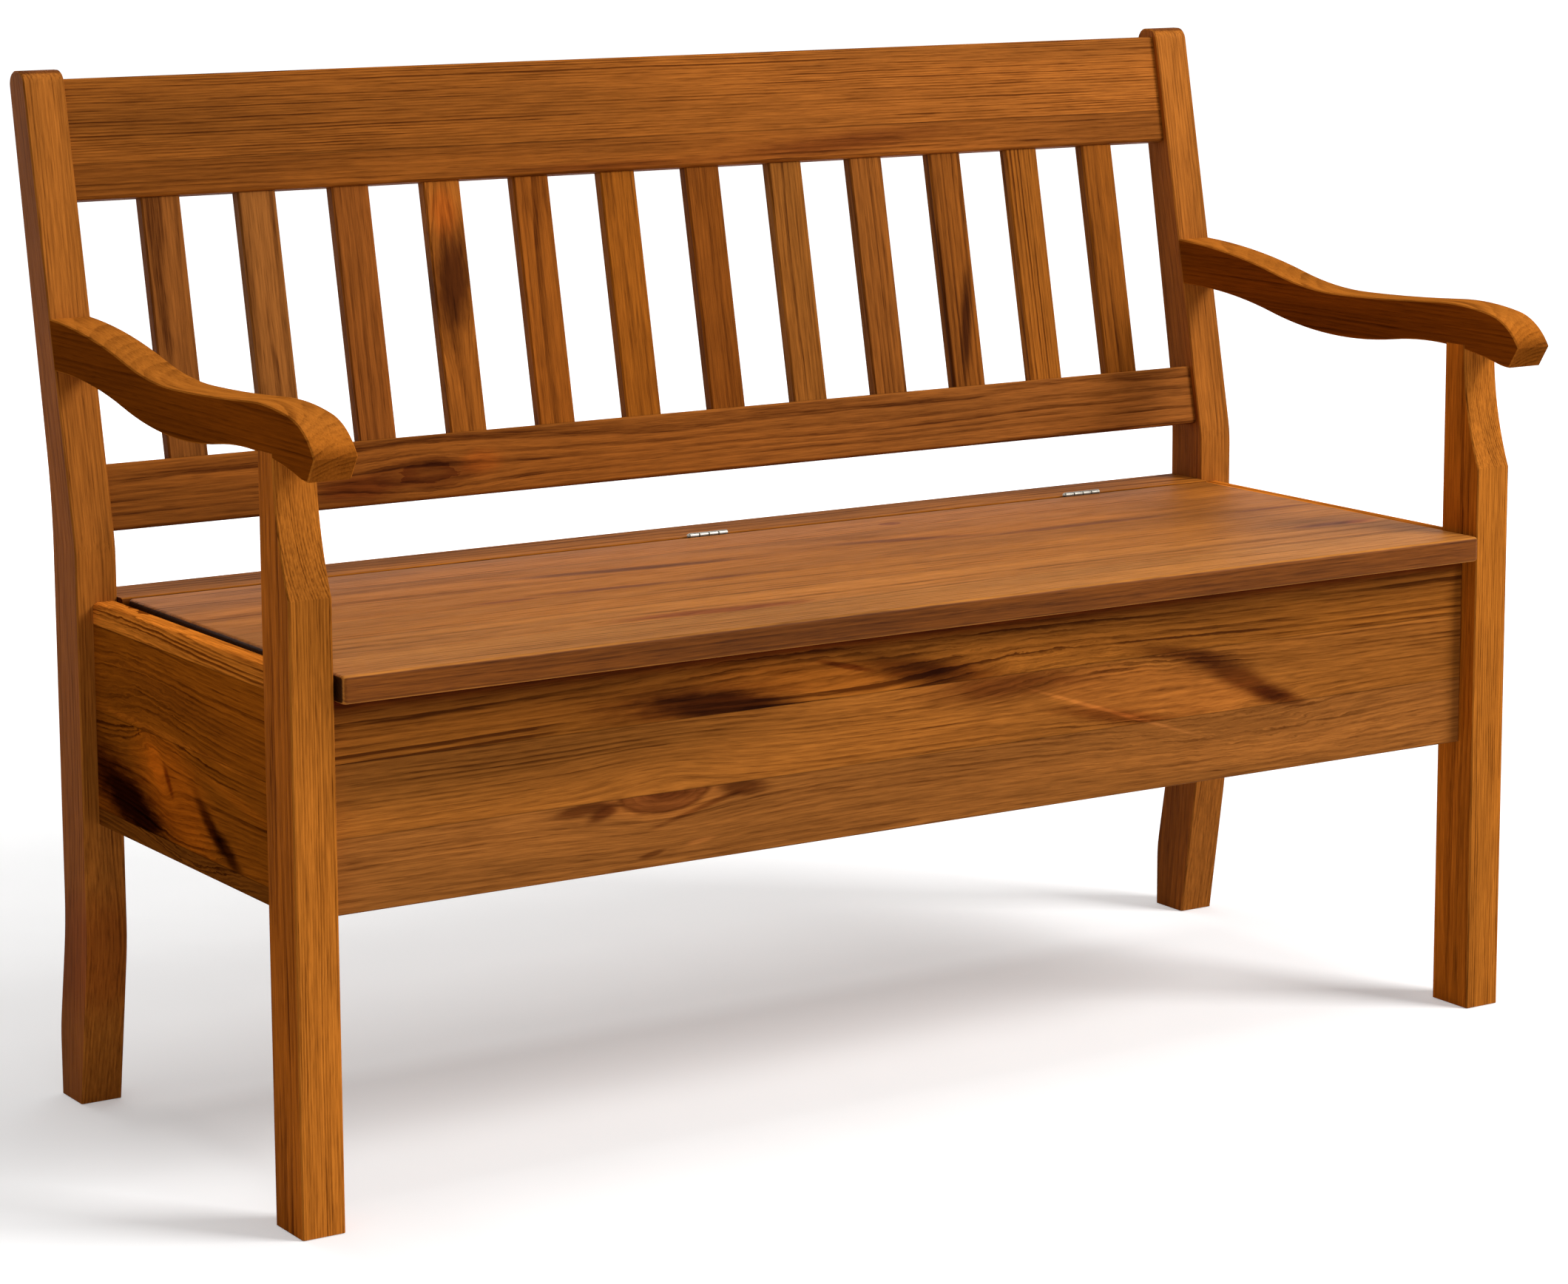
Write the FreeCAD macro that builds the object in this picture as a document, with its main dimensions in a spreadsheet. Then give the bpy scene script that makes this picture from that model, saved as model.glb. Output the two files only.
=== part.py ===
import FreeCAD, Part
import math
import os
import Sketcher

# Settle bench: a two-seat wooden bench with a slatted back, curved arms and a storage box
# under a hinged seat lid. Millimetres, Z up, the front faces -Y, +X is to the viewer's right.
# Inside the sketches Y is measured from the front faces of the front legs and Z from the floor.

Vector = FreeCAD.Vector
document = FreeCAD.newDocument("settle_bench")

# Driving dimensions
SIZES = {
    # the bench as a whole
    "overall_width": 1280,
    "seat_height": 462,
    "seat_depth": 422,
    "back_height": 919,
    "frame_width": 38.5,
    "edge_ease": 1.2,
    # front legs: square below the shoulder, hollowed away in front above it
    "leg_depth": 50,
    "leg_top_depth": 27,
    "leg_shoulder": 525,
    "leg_height": 641,
    # rear posts: upright at the seat, raked above it, kicked back at the foot
    "post_depth": 49,
    "back_rake": 11.5,
    "rear_rake": 10.1,
    "front_knee": 508,
    "rear_knee": 544,
    "front_knee_round": 120,
    "rear_knee_round": 500,
    "post_top_round": 12.5,
    "toe_kick": 24,
    "toe_kick_height": 150,
    "toe_kick_round": 220,
    "heel_kick": 18.5,
    "heel_kick_height": 163,
    "heel_height": 62,
    "heel_kick_round": 300,
    "heel_round": 140,
    # armrests: S-shaped, scrolled down in front of the leg
    "arm_top_height": 706,
    "arm_under_height": 661,
    "arm_rear_radius": 770,
    "arm_fall_run": 118,
    "arm_fall_height": 683.8,
    "arm_dip_run": 215,
    "arm_dip_height": 672.5,
    "arm_rise_run": 71,
    "arm_rise_height": 678.2,
    "arm_roll_reach": 10.5,
    "arm_roll_height": 673.7,
    "arm_nose_reach": 51.5,
    "arm_nose_height": 645,
    "arm_chin_reach": 39,
    "arm_chin_height": 625.7,
    "arm_chin_radius": 58,
    "arm_throat_reach": 23.3,
    "arm_throat_height": 627.6,
    "arm_under_rise_run": 125,
    "arm_under_rise_height": 636.2,
    "arm_under_fall_run": 109,
    "arm_under_fall_height": 645.1,
    # back: two rails and the slats between them, all in the raked plane
    "rail_thickness": 20,
    "rail_inset": 6.5,
    "rail_round": 3,
    "lower_rail_start": 519.5,
    "lower_rail_height": 59,
    "back_opening": 233,
    "top_rail_height": 108,
    "slat_count": 12,
    "slat_width": 38,
    "slat_thickness": 12.5,
    "slat_inset": 4,
    "slat_end_gap": 64.5,
    "slat_ease": 1.6,
    # box under the seat
    "panel_thickness": 23.5,
    "panel_bottom": 259.5,
    "front_panel_inset": 19,
    "rear_panel_inset": 19,
    "side_panel_drop": 3,
    "side_panel_round": 5,
    "floor_thickness": 9,
    "floor_gap": 0.5,
    "cleat_size": 20,
    "cleat_lift": 3,
    # lid and the fixed strip behind it
    "lid_thickness": 23.5,
    "lid_proud": 7.7,
    "lid_end_gap": 3.5,
    "lid_round": 3.5,
    "lid_corner_round": 5,
    "strip_lap": 10.5,
    "batten_width": 45,
    "batten_thickness": 18,
    "batten_front_gap": 5,
    "batten_rear_gap": 20,
    "batten_spread": 450,
    "batten_chamfer": 4,
    # butt hinges in the gap between lid and strip
    "hinge_gap": 3,
    "hinge_length": 43,
    "hinge_spread": 441,
    "hinge_rise": 1,
    "leaf_thickness": 1.3,
    "leaf_drop": 21,
    "knuckle_radius": 2.6,
    "knuckle_count": 4,
    "knuckle_gap": 0.2,
    "pin_radius": 1.3,
    "pin_head_radius": 2,
    "pin_head_height": 1.4,
    "hinge_screw_count": 2,
    "hinge_screw_spacing": 26,
    "hinge_screw_drop": 12.5,
    "hinge_screw_length": 16,
    "hinge_screw_radius": 1.4,
    "hinge_screw_head_radius": 2.6,
    "hinge_screw_head_depth": 0.8,
    # joints between the pieces
    "tenon_length": 25,
    "tenon_thickness": 10,
    "tenon_shoulder": 10,
    "slat_tenon_length": 12,
    "slat_tenon_thickness": 8,
    "slat_tenon_shoulder": 3,
    "tongue_length": 8,
    "tongue_thickness": 8,
    "tongue_shoulder": 16,
    "dowel_radius": 5,
    "dowel_length": 44,
    "strip_dowel_radius": 4,
    "strip_dowel_length": 28,
    "strip_dowel_count": 5,
    "strip_dowel_spacing": 260,
    "screw_radius": 2,
    "screw_head_radius": 4,
    "screw_head_depth": 2.4,
    "cleat_screw_length": 34,
    "cleat_screw_count": 4,
    "cleat_screw_spacing": 340,
    "side_screw_count": 2,
    "side_screw_spacing": 200,
    "batten_screw_length": 34,
    "batten_screw_count": 3,
    "batten_screw_spacing": 140,
    # flat sides that stand for a small round
    "fastener_sides": 8,
    "pin_sides": 12,
    "knuckle_sides": 16,
    # clearances
    "fit_gap": 0.1,
    "depth_gap": 1,
    "butt_gap": 0.1,
    "pin_gap": 0.05,
    "knuckle_clearance": 0.4,
    "cut_overrun": 2,
}

# Places worked out from the driving dimensions
PLACES = {
    "inner_half": "Sizes.overall_width / 2 - Sizes.frame_width",
    "frame_centre": "Sizes.overall_width / 2 - Sizes.frame_width / 2",
    "rake_sine": "sin(Sizes.back_rake * 1 deg)",
    "rake_cosine": "cos(Sizes.back_rake * 1 deg)",
    "rake_slope": "tan(Sizes.back_rake * 1 deg)",
    "rear_slope": "tan(Sizes.rear_rake * 1 deg)",
    "post_rear": "Sizes.seat_depth + Sizes.post_depth",
    "post_top_rear": "post_rear + (Sizes.back_height - Sizes.rear_knee) * rear_slope",
    "rounded_top_rear": "post_top_rear - Sizes.post_top_round"
                        " * ((1 + sin(Sizes.rear_rake * 1 deg)) / cos(Sizes.rear_rake * 1 deg) - 1)",
    "shift_y": "(Sizes.arm_nose_reach - rounded_top_rear) / 2",
    "back_y": "Sizes.seat_depth + Sizes.rail_inset"
              " + (Sizes.lower_rail_start - Sizes.front_knee) * rake_slope",
    "top_rail_start": "Sizes.lower_rail_height + Sizes.back_opening",
    "slat_pitch": "(2 * inner_half - 2 * Sizes.slat_end_gap - Sizes.slat_width)"
                  " / (Sizes.slat_count - 1)",
    "taper_radius": "((Sizes.leg_height - Sizes.leg_shoulder) ^ 2"
                    " + (Sizes.leg_depth - Sizes.leg_top_depth) ^ 2)"
                    " / (2 * (Sizes.leg_depth - Sizes.leg_top_depth))",
    "lid_under": "Sizes.seat_height - Sizes.lid_thickness",
    "strip_front": "Sizes.seat_depth - Sizes.strip_lap",
    "lid_rear": "strip_front - Sizes.hinge_gap",
    "hinge_y": "strip_front - Sizes.hinge_gap / 2",
    "hinge_z": "Sizes.seat_height + Sizes.hinge_rise",
    "lid_half": "inner_half - Sizes.lid_end_gap",
    "front_panel_back": "Sizes.front_panel_inset + Sizes.panel_thickness",
    "rear_panel_back": "post_rear - Sizes.rear_panel_inset",
    "rear_panel_front": "rear_panel_back - Sizes.panel_thickness",
    "side_panel_top": "Sizes.seat_height - Sizes.side_panel_drop",
    "side_panel_centre": "inner_half + Sizes.panel_thickness / 2",
    "cleat_bottom": "Sizes.panel_bottom + Sizes.cleat_lift",
    "cleat_top": "cleat_bottom + Sizes.cleat_size",
    "knuckle_pitch": "Sizes.hinge_length / Sizes.knuckle_count",
    "leaf_face": "Sizes.hinge_gap / 2 - Sizes.leaf_thickness",
    "pin_bore_radius": "(Sizes.pin_radius + Sizes.pin_gap) / cos(180 deg / Sizes.pin_sides)",
    "arm_rear_top": "Sizes.seat_depth - Sizes.butt_gap"
                    " + (Sizes.arm_top_height - Sizes.front_knee) * rake_slope",
    "arm_rear_under": "Sizes.seat_depth - Sizes.butt_gap"
                      " + (Sizes.arm_under_height - Sizes.front_knee) * rake_slope",
}


def add_sheet(name, entries, sign=""):
    """One spreadsheet: a name in column A, its number or formula in column B under the same alias."""
    sheet = document.addObject("Spreadsheet::Sheet", name)
    for row, (alias, content) in enumerate(entries.items(), start=1):
        sheet.set("A%d" % row, alias)
        sheet.set("B%d" % row, sign + str(content))
        sheet.setAlias("B%d" % row, alias)
    document.recompute()
    return sheet


add_sheet("Sizes", SIZES)
places = add_sheet("Places", PLACES, "=")
nodes = []
SIDES = {"left": -1, "right": 1}
HINGES = {"left": -1, "middle": 0, "right": 1}

# Expressions that several pieces share
ARM_MIDDLE = "(Sizes.arm_top_height + Sizes.arm_under_height) / 2"
ARM_DOWEL_FACE = "(Sizes.seat_depth + (" + ARM_MIDDLE + " - Sizes.front_knee) * Places.rake_slope)"
LEG_DOWEL_Y = "Sizes.leg_depth - Sizes.leg_top_depth / 2"
DOWEL_BORE_RADIUS = "Sizes.dowel_radius + Sizes.fit_gap"
DOWEL_BORE_LENGTH = "Sizes.dowel_length + 2 * Sizes.depth_gap"
SCREW_BORE_RADIUS = "Sizes.screw_radius + Sizes.fit_gap"
SCREW_HEAD_BORE_RADIUS = "Sizes.screw_head_radius + Sizes.fit_gap"
FIRST_CLEAT_SCREW = "-(Sizes.cleat_screw_count - 1) / 2 * Sizes.cleat_screw_spacing"
CLEAT_SCREW_Z = "Places.cleat_bottom + Sizes.cleat_size / 2"
CLEAT_PILOT_LENGTH = "2 * (Sizes.cleat_screw_length - Sizes.cleat_size + Sizes.depth_gap)"
FIRST_SIDE_SCREW = ("(Places.front_panel_back + Places.rear_panel_front) / 2"
                    " - (Sizes.side_screw_count - 1) / 2 * Sizes.side_screw_spacing")
FIRST_STRIP_DOWEL = "-(Sizes.strip_dowel_count - 1) / 2 * Sizes.strip_dowel_spacing"
STRIP_DOWEL_Y = "Places.rear_panel_front + Sizes.panel_thickness / 2"
BATTEN_FRONT = "(Places.front_panel_back + Sizes.batten_front_gap)"
BATTEN_REAR = "(Places.lid_rear - Sizes.batten_rear_gap)"
FIRST_BATTEN_SCREW = ("(" + BATTEN_FRONT + " + " + BATTEN_REAR + ") / 2"
                      " - (Sizes.batten_screw_count - 1) / 2 * Sizes.batten_screw_spacing")
FIRST_LEAF_SCREW = "-(Sizes.hinge_screw_count - 1) / 2 * Sizes.hinge_screw_spacing"
FIRST_HINGE_SCREW = "%d * Sizes.hinge_spread + (" + FIRST_LEAF_SCREW + ")"


def value(expression):
    """The number that an expression over the two sheets gives."""
    return float(places.evalExpression(expression))


def origin_feature(body, role):
    """A body's own origin plane or axis."""
    for feature in body.Origin.OriginFeatures:
        if feature.Role == role:
            return feature
    raise RuntimeError(role + " is missing")


def new_body(label, x="0", y="0", z="0"):
    """A piece, placed from the front faces of the legs and the floor."""
    body = document.addObject("PartDesign::Body", label)
    body.Label = label
    body.setExpression("Placement.Base.x", x)
    body.setExpression("Placement.Base.y", "Places.shift_y + " + y)
    body.setExpression("Placement.Base.z", z)
    nodes.append(body)
    return body


def new_back_body(label, x="0"):
    """A piece of the back, with Z up the rake and Y square to the rail faces."""
    body = new_body(label, x, "Places.back_y", "Sizes.lower_rail_start")
    body.Placement.Rotation = FreeCAD.Rotation(Vector(-1, 0, 0), value("Sizes.back_rake"))
    body.setExpression("Placement.Rotation.Angle", "Sizes.back_rake * 1 deg")
    return body


def new_sketch(body, name, role, place):
    """A sketch parallel to one of the body's own planes, where that plane's axis reads place.
    The XZ plane faces -Y, so it counts the other way."""
    sketch = body.newObject("Sketcher::SketchObject", name)
    sketch.AttachmentSupport = (origin_feature(body, role), [""])
    sketch.MapMode = "FlatFace"
    sign = "-" if role == "XZ_Plane" else ""
    sketch.setExpression("AttachmentOffset.Base.z", sign + "(" + place + ")")
    return sketch


def pins(geometry, position, name, across, up):
    """The constraints that hold a point at its distances from the sketch's origin, each with its
    name, if any, and the expression of its value."""
    return [
        (Sketcher.Constraint("DistanceX", -1, 1, geometry, position, value(across)),
         name and name + "_across", across),
        (Sketcher.Constraint("DistanceY", -1, 1, geometry, position, value(up)),
         name and name + "_up", up),
    ]


def arc_along(start, heading, end):
    """The arc that leaves start along heading and ends at end, its end positions and new heading."""
    chord = end - start
    normal = Vector(-heading.y, heading.x, 0)
    radius = chord.dot(chord) / (2 * chord.dot(normal))
    centre = start + normal * radius
    circle = Part.Circle(centre, Vector(0, 0, 1), abs(radius))
    start_angle = math.atan2(start.y - centre.y, start.x - centre.x)
    end_angle = math.atan2(end.y - centre.y, end.x - centre.x)
    turned = chord * (2 * chord.dot(heading) / chord.dot(chord)) - heading
    if radius > 0:
        return Part.ArcOfCircle(circle, start_angle, end_angle), 1, 2, turned
    return Part.ArcOfCircle(circle, end_angle, start_angle), 2, 1, turned


def bend_heading(start, end, radius):
    """The heading at the start of an arc of that radius, positive where it turns to the left."""
    chord = end - start
    half_turn = math.asin(chord.Length / (2 * radius))
    angle = math.atan2(chord.y, chord.x) - half_turn
    return Vector(math.cos(angle), math.sin(angle), 0)


def outline(sketch, corners):
    """A closed outline. Each corner is (name, across, up) and then, where the side after it is
    round, "flow" for an arc that runs on smoothly or the expression of its signed radius."""
    points = [Vector(value(corner[1]), value(corner[2]), 0) for corner in corners]
    geometry = []
    sides = []
    heading = None
    for index, corner in enumerate(corners):
        start = points[index]
        end = points[(index + 1) % len(points)]
        shape = corner[3] if len(corner) > 3 else "line"
        if shape == "line":
            geometry.append(Part.LineSegment(start, end))
            heading = (end - start).normalize()
            sides.append((1, 2, shape))
            continue
        if shape != "flow":
            heading = bend_heading(start, end, value(shape))
        arc, first, last, heading = arc_along(start, heading, end)
        geometry.append(arc)
        sides.append((first, last, shape))
    sketch.addGeometry(geometry, False)
    added = []
    for index, corner in enumerate(corners):
        first, last, shape = sides[index]
        before = (index - 1) % len(corners)
        kind = "Tangent" if shape == "flow" else "Coincident"
        joint = Sketcher.Constraint(kind, before, sides[before][1], index, first)
        added.append((joint, None, None))
        added.extend(pins(index, first, corner[0], corner[1], corner[2]))
        if shape not in ("line", "flow"):
            size = "abs(" + shape + ")"
            added.append((Sketcher.Constraint("Radius", index, value(size)), corner[0] + "_radius", size))
    sketch.addConstraint([constraint for constraint, name, expression in added])
    for index, (constraint, name, expression) in enumerate(added):
        if name:
            sketch.renameConstraint(index, name)
        if expression:
            path = "Constraints." + name if name else "Constraints[%d]" % index
            sketch.setExpression(path, expression)


def rectangle(low_across, high_across, low_up, high_up):
    """The four corners of a rectangle."""
    return [
        ("low_left", low_across, low_up),
        ("low_right", high_across, low_up),
        ("high_right", high_across, high_up),
        ("high_left", low_across, high_up),
    ]


def ring(across, up, radius, sides):
    """The unnamed corners of a regular outline that stands for a circle."""
    corners = []
    count = int(value(sides))
    for number in range(count):
        turn = "(%d + 1 / 2) / %d * 360 deg" % (number, count)
        corners.append((
            None,
            "%s + (%s) * cos(%s)" % (across, radius, turn),
            "%s + (%s) * sin(%s)" % (up, radius, turn),
        ))
    return corners


def extrude(body, sketch, length, cut=False):
    """Pad the sketch, or cut it away, half its length to each side of its plane."""
    kind = "PartDesign::Pocket" if cut else "PartDesign::Pad"
    feature = body.newObject(kind, sketch.Name + ("_cut" if cut else "_pad"))
    feature.Profile = sketch
    feature.SideType = "Symmetric"
    feature.setExpression("Length", length)
    document.recompute()
    return feature


def block(body, name, centre, length, front, rear, bottom, top, cut=False):
    """A rectangular length of wood or metal along X, or a rectangular cut."""
    sketch = new_sketch(body, name, "YZ_Plane", centre)
    outline(sketch, rectangle(front, rear, bottom, top))
    return extrude(body, sketch, length, cut)


def rod(body, name, role, place, across, up, radius, length, sides="Sizes.fastener_sides", cut=False):
    """A slim round bar, or a bore for one, centred on a plane parallel to one of the body's own."""
    sketch = new_sketch(body, name, role, place)
    outline(sketch, ring(across, up, radius, sides))
    return extrude(body, sketch, length, cut)


def bore(body, name, role, place, across, up, radius, depth, sides="Sizes.fastener_sides"):
    return rod(body, name, role, place, across, up, radius, depth, sides, True)


def screw_parts(body, name, role, face, turn, across, up, length, radius, head_radius, head_depth, cut):
    """The head and the shank of a flush screw that goes in at face, or of a hole for it.
    turn is 1 where it points along the plane's axis and -1 where it points against it."""
    sign = " + " if turn > 0 else " - "
    head = rod(body, name + "_head", role, face + sign + head_depth + " / 2", across, up, head_radius,
               head_depth, cut=cut)
    middle = face + sign + "(" + length + " + " + head_depth + ") / 2"
    shank = rod(body, name + "_shank", role, middle, across, up, radius, length + " - " + head_depth,
                cut=cut)
    return [head, shank]


def screw(body, name, role, face, turn, across, up, length, radius, head_radius, head_depth):
    return screw_parts(body, name, role, face, turn, across, up, length, radius, head_radius,
                       head_depth, False)


def screw_hole(body, name, role, face, turn, across, up, thickness, radius, head_radius, head_depth):
    """A hole right through a piece of that thickness, with a seat for the head."""
    length = "(" + thickness + " + Sizes.cut_overrun)"
    return screw_parts(body, name, role, face, turn, across, up, length, radius + " + Sizes.fit_gap",
                       head_radius + " + Sizes.fit_gap", head_depth, True)


def row(body, originals, axis, count, spacing):
    """Repeat features along one of the body's axes."""
    pattern = body.newObject("PartDesign::LinearPattern", originals[0].Name + "_row")
    pattern.Originals = originals
    pattern.Direction = (origin_feature(body, axis), [""])
    pattern.Mode = "Extent"
    pattern.setExpression("Length", "(" + count + " - 1) * " + spacing)
    pattern.setExpression("Occurrences", count)
    body.Tip = pattern
    document.recompute()
    return pattern


def dress(body, name, kind, size, chosen):
    """Fillet or chamfer the edges of the body's last feature that the test picks."""
    base = body.Tip
    picked = ["Edge%d" % number for number, edge in enumerate(base.Shape.Edges, 1) if chosen(edge)]
    if not picked:
        raise RuntimeError(body.Label + ": no edges for " + name)
    feature = body.newObject("PartDesign::" + kind, name)
    feature.Base = (base, picked)
    feature.setExpression("Radius" if kind == "Fillet" else "Size", size)
    document.recompute()
    return feature


def round_edges(body, name, radius, chosen):
    return dress(body, name, "Fillet", radius, chosen)


def ease_edges(body, name, size, chosen):
    return dress(body, name, "Chamfer", size, chosen)


def runs_along(edge, axis):
    """Whether an edge is a straight one along an axis."""
    box = edge.BoundBox
    lengths = {"x": box.XLength, "y": box.YLength, "z": box.ZLength}
    return all(length < 0.01 for name, length in lengths.items() if name != axis)


def along_x_at(y, z):
    """A test for the edges along X through a point of the outline."""
    place = Vector(0, value(y), value(z))

    def chosen(edge):
        middle = edge.CenterOfMass
        return runs_along(edge, "x") and Vector(0, middle.y, middle.z).distanceToPoint(place) < 0.1
    return chosen


def level(edge, height):
    """Whether an edge lies flat at a height."""
    box = edge.BoundBox
    return box.ZLength < 0.01 and abs(box.ZMin - height) < 0.01


def on_face(edge, y):
    """Whether an edge lies in the face square to Y at that place."""
    box = edge.BoundBox
    return box.YLength < 0.01 and abs(box.YMin - y) < 0.01


def back_corner(name, through, along):
    """A corner given in the raked frame of the back, as the sketches of the posts see it."""
    across = "Places.back_y + (%s) * Places.rake_cosine + (%s) * Places.rake_sine" % (through, along)
    up = "Sizes.lower_rail_start - (%s) * Places.rake_sine + (%s) * Places.rake_cosine" % (through, along)
    return name, across, up


def rail_mortise(body, name, side, bottom, top):
    """The raked mortise in a post for one rail's tenon."""
    centre = "%d * (Places.inner_half + (Sizes.tenon_length + Sizes.depth_gap) / 2)" % side
    near = "Sizes.rail_thickness / 2 - Sizes.tenon_thickness / 2 - Sizes.fit_gap"
    far = "Sizes.rail_thickness / 2 + Sizes.tenon_thickness / 2 + Sizes.fit_gap"
    low = bottom + " + Sizes.tenon_shoulder - Sizes.fit_gap"
    high = top + " - Sizes.tenon_shoulder + Sizes.fit_gap"
    sketch = new_sketch(body, name, "YZ_Plane", centre)
    outline(sketch, [
        back_corner("low_near", near, low),
        back_corner("low_far", far, low),
        back_corner("high_far", far, high),
        back_corner("high_near", near, high),
    ])
    extrude(body, sketch, "Sizes.tenon_length + Sizes.depth_gap", True)


def cross_tongue(body, name, length, front, cut_side=0):
    """The tongues at both ends of a panel that runs along X, or the groove for one of them."""
    grow = "Sizes.fit_gap" if cut_side else "0"
    margin = "(Sizes.panel_thickness - Sizes.tongue_thickness) / 2 - " + grow
    near = front + " + " + margin
    far = front + " + Sizes.panel_thickness - (" + margin + ")"
    low = "Sizes.panel_bottom + Sizes.tongue_shoulder - " + grow
    high = "Places.lid_under - Sizes.tongue_shoulder + " + grow
    if not cut_side:
        return block(body, name, "0", length + " + 2 * Sizes.tongue_length", near, far, low, high)
    centre = "%d * (Places.inner_half + (Sizes.tongue_length + Sizes.depth_gap) / 2)" % cut_side
    return block(body, name, centre, "Sizes.tongue_length + Sizes.depth_gap", near, far, low, high, True)


def side_tongue(body, name, side, front, rear, cut=False):
    """The tongue along a side panel's length, or a groove for one end of it."""
    grow = "Sizes.fit_gap" if cut else "0"
    low = "Sizes.panel_bottom + Sizes.tongue_shoulder - " + grow
    high = "Places.side_panel_top - Sizes.tongue_shoulder + " + grow
    centre = "%d * Places.side_panel_centre" % side
    return block(body, name, centre, "Sizes.tongue_thickness + 2 * " + grow, front, rear, low, high, cut)


# Rear posts
def make_post(name, side):
    body = new_body("rear_post_" + name)
    sketch = new_sketch(body, "outline_" + name, "YZ_Plane", "%d * Places.frame_centre" % side)
    rise = "(Sizes.back_height - Sizes.front_knee)"
    outline(sketch, [
        ("toe", "Sizes.seat_depth + Sizes.toe_kick", "0"),
        ("heel", "Places.post_rear + Sizes.heel_kick", "0"),
        ("heel_top", "Places.post_rear + Sizes.heel_kick", "Sizes.heel_height"),
        ("heel_start", "Places.post_rear", "Sizes.heel_kick_height"),
        ("rear_knee", "Places.post_rear", "Sizes.rear_knee"),
        ("rear_top", "Places.post_top_rear", "Sizes.back_height"),
        ("front_top", "Sizes.seat_depth + " + rise + " * Places.rake_slope", "Sizes.back_height"),
        ("front_knee", "Sizes.seat_depth", "Sizes.front_knee"),
        ("toe_start", "Sizes.seat_depth", "Sizes.toe_kick_height"),
    ])
    extrude(body, sketch, "Sizes.frame_width")
    bends = (
        ("heel_top", "Places.post_rear + Sizes.heel_kick", "Sizes.heel_height", "Sizes.heel_round"),
        ("heel_start", "Places.post_rear", "Sizes.heel_kick_height", "Sizes.heel_kick_round"),
        ("rear_knee", "Places.post_rear", "Sizes.rear_knee", "Sizes.rear_knee_round"),
        ("front_knee", "Sizes.seat_depth", "Sizes.front_knee", "Sizes.front_knee_round"),
        ("toe_start", "Sizes.seat_depth", "Sizes.toe_kick_height", "Sizes.toe_kick_round"),
    )
    for bend, y, z, radius in bends:
        round_edges(body, bend + "_" + name, radius, along_x_at(y, z))
    top = value("Sizes.back_height")
    round_edges(body, "top_" + name, "Sizes.post_top_round",
                lambda edge: runs_along(edge, "x") and level(edge, top))
    ease_edges(body, "eased_" + name, "Sizes.edge_ease",
                lambda edge: not runs_along(edge, "x") and not level(edge, 0))
    rail_mortise(body, "lower_mortise_" + name, side, "0", "Sizes.lower_rail_height")
    rail_mortise(body, "top_mortise_" + name, side, "Places.top_rail_start",
                 "Places.top_rail_start + Sizes.top_rail_height")
    cross_tongue(body, "rear_panel_groove_" + name, "", "Places.rear_panel_front", side)
    side_tongue(body, "side_panel_groove_" + name, side, "Sizes.seat_depth - Sizes.depth_gap",
                "Sizes.seat_depth + Sizes.tongue_length + Sizes.depth_gap", True)
    bore(body, "arm_dowel_bore_" + name, "XZ_Plane",
         ARM_DOWEL_FACE, "%d * Places.frame_centre" % side, ARM_MIDDLE,
         DOWEL_BORE_RADIUS, DOWEL_BORE_LENGTH)
    return body


# Front legs
def make_leg(name, side):
    body = new_body("front_leg_" + name)
    sketch = new_sketch(body, "outline_" + name, "YZ_Plane", "%d * Places.frame_centre" % side)
    outline(sketch, [
        ("toe", "0", "0"),
        ("heel", "Sizes.leg_depth", "0"),
        ("rear_top", "Sizes.leg_depth", "Sizes.leg_height"),
        ("front_top", "Sizes.leg_depth - Sizes.leg_top_depth", "Sizes.leg_height", "-Places.taper_radius"),
        ("shoulder", "0", "Sizes.leg_shoulder"),
    ])
    extrude(body, sketch, "Sizes.frame_width")
    top = value("Sizes.leg_height")
    ease_edges(body, "eased_" + name, "Sizes.edge_ease",
                lambda edge: not runs_along(edge, "x") and not level(edge, 0) and not level(edge, top))
    cross_tongue(body, "front_panel_groove_" + name, "", "Sizes.front_panel_inset", side)
    side_tongue(body, "side_panel_groove_" + name, side,
                "Sizes.leg_depth - Sizes.tongue_length - Sizes.depth_gap",
                "Sizes.leg_depth + Sizes.depth_gap", True)
    bore(body, "arm_dowel_bore_" + name, "XY_Plane", "Sizes.leg_height", "%d * Places.frame_centre" % side,
         LEG_DOWEL_Y, DOWEL_BORE_RADIUS, DOWEL_BORE_LENGTH)
    return body


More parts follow.
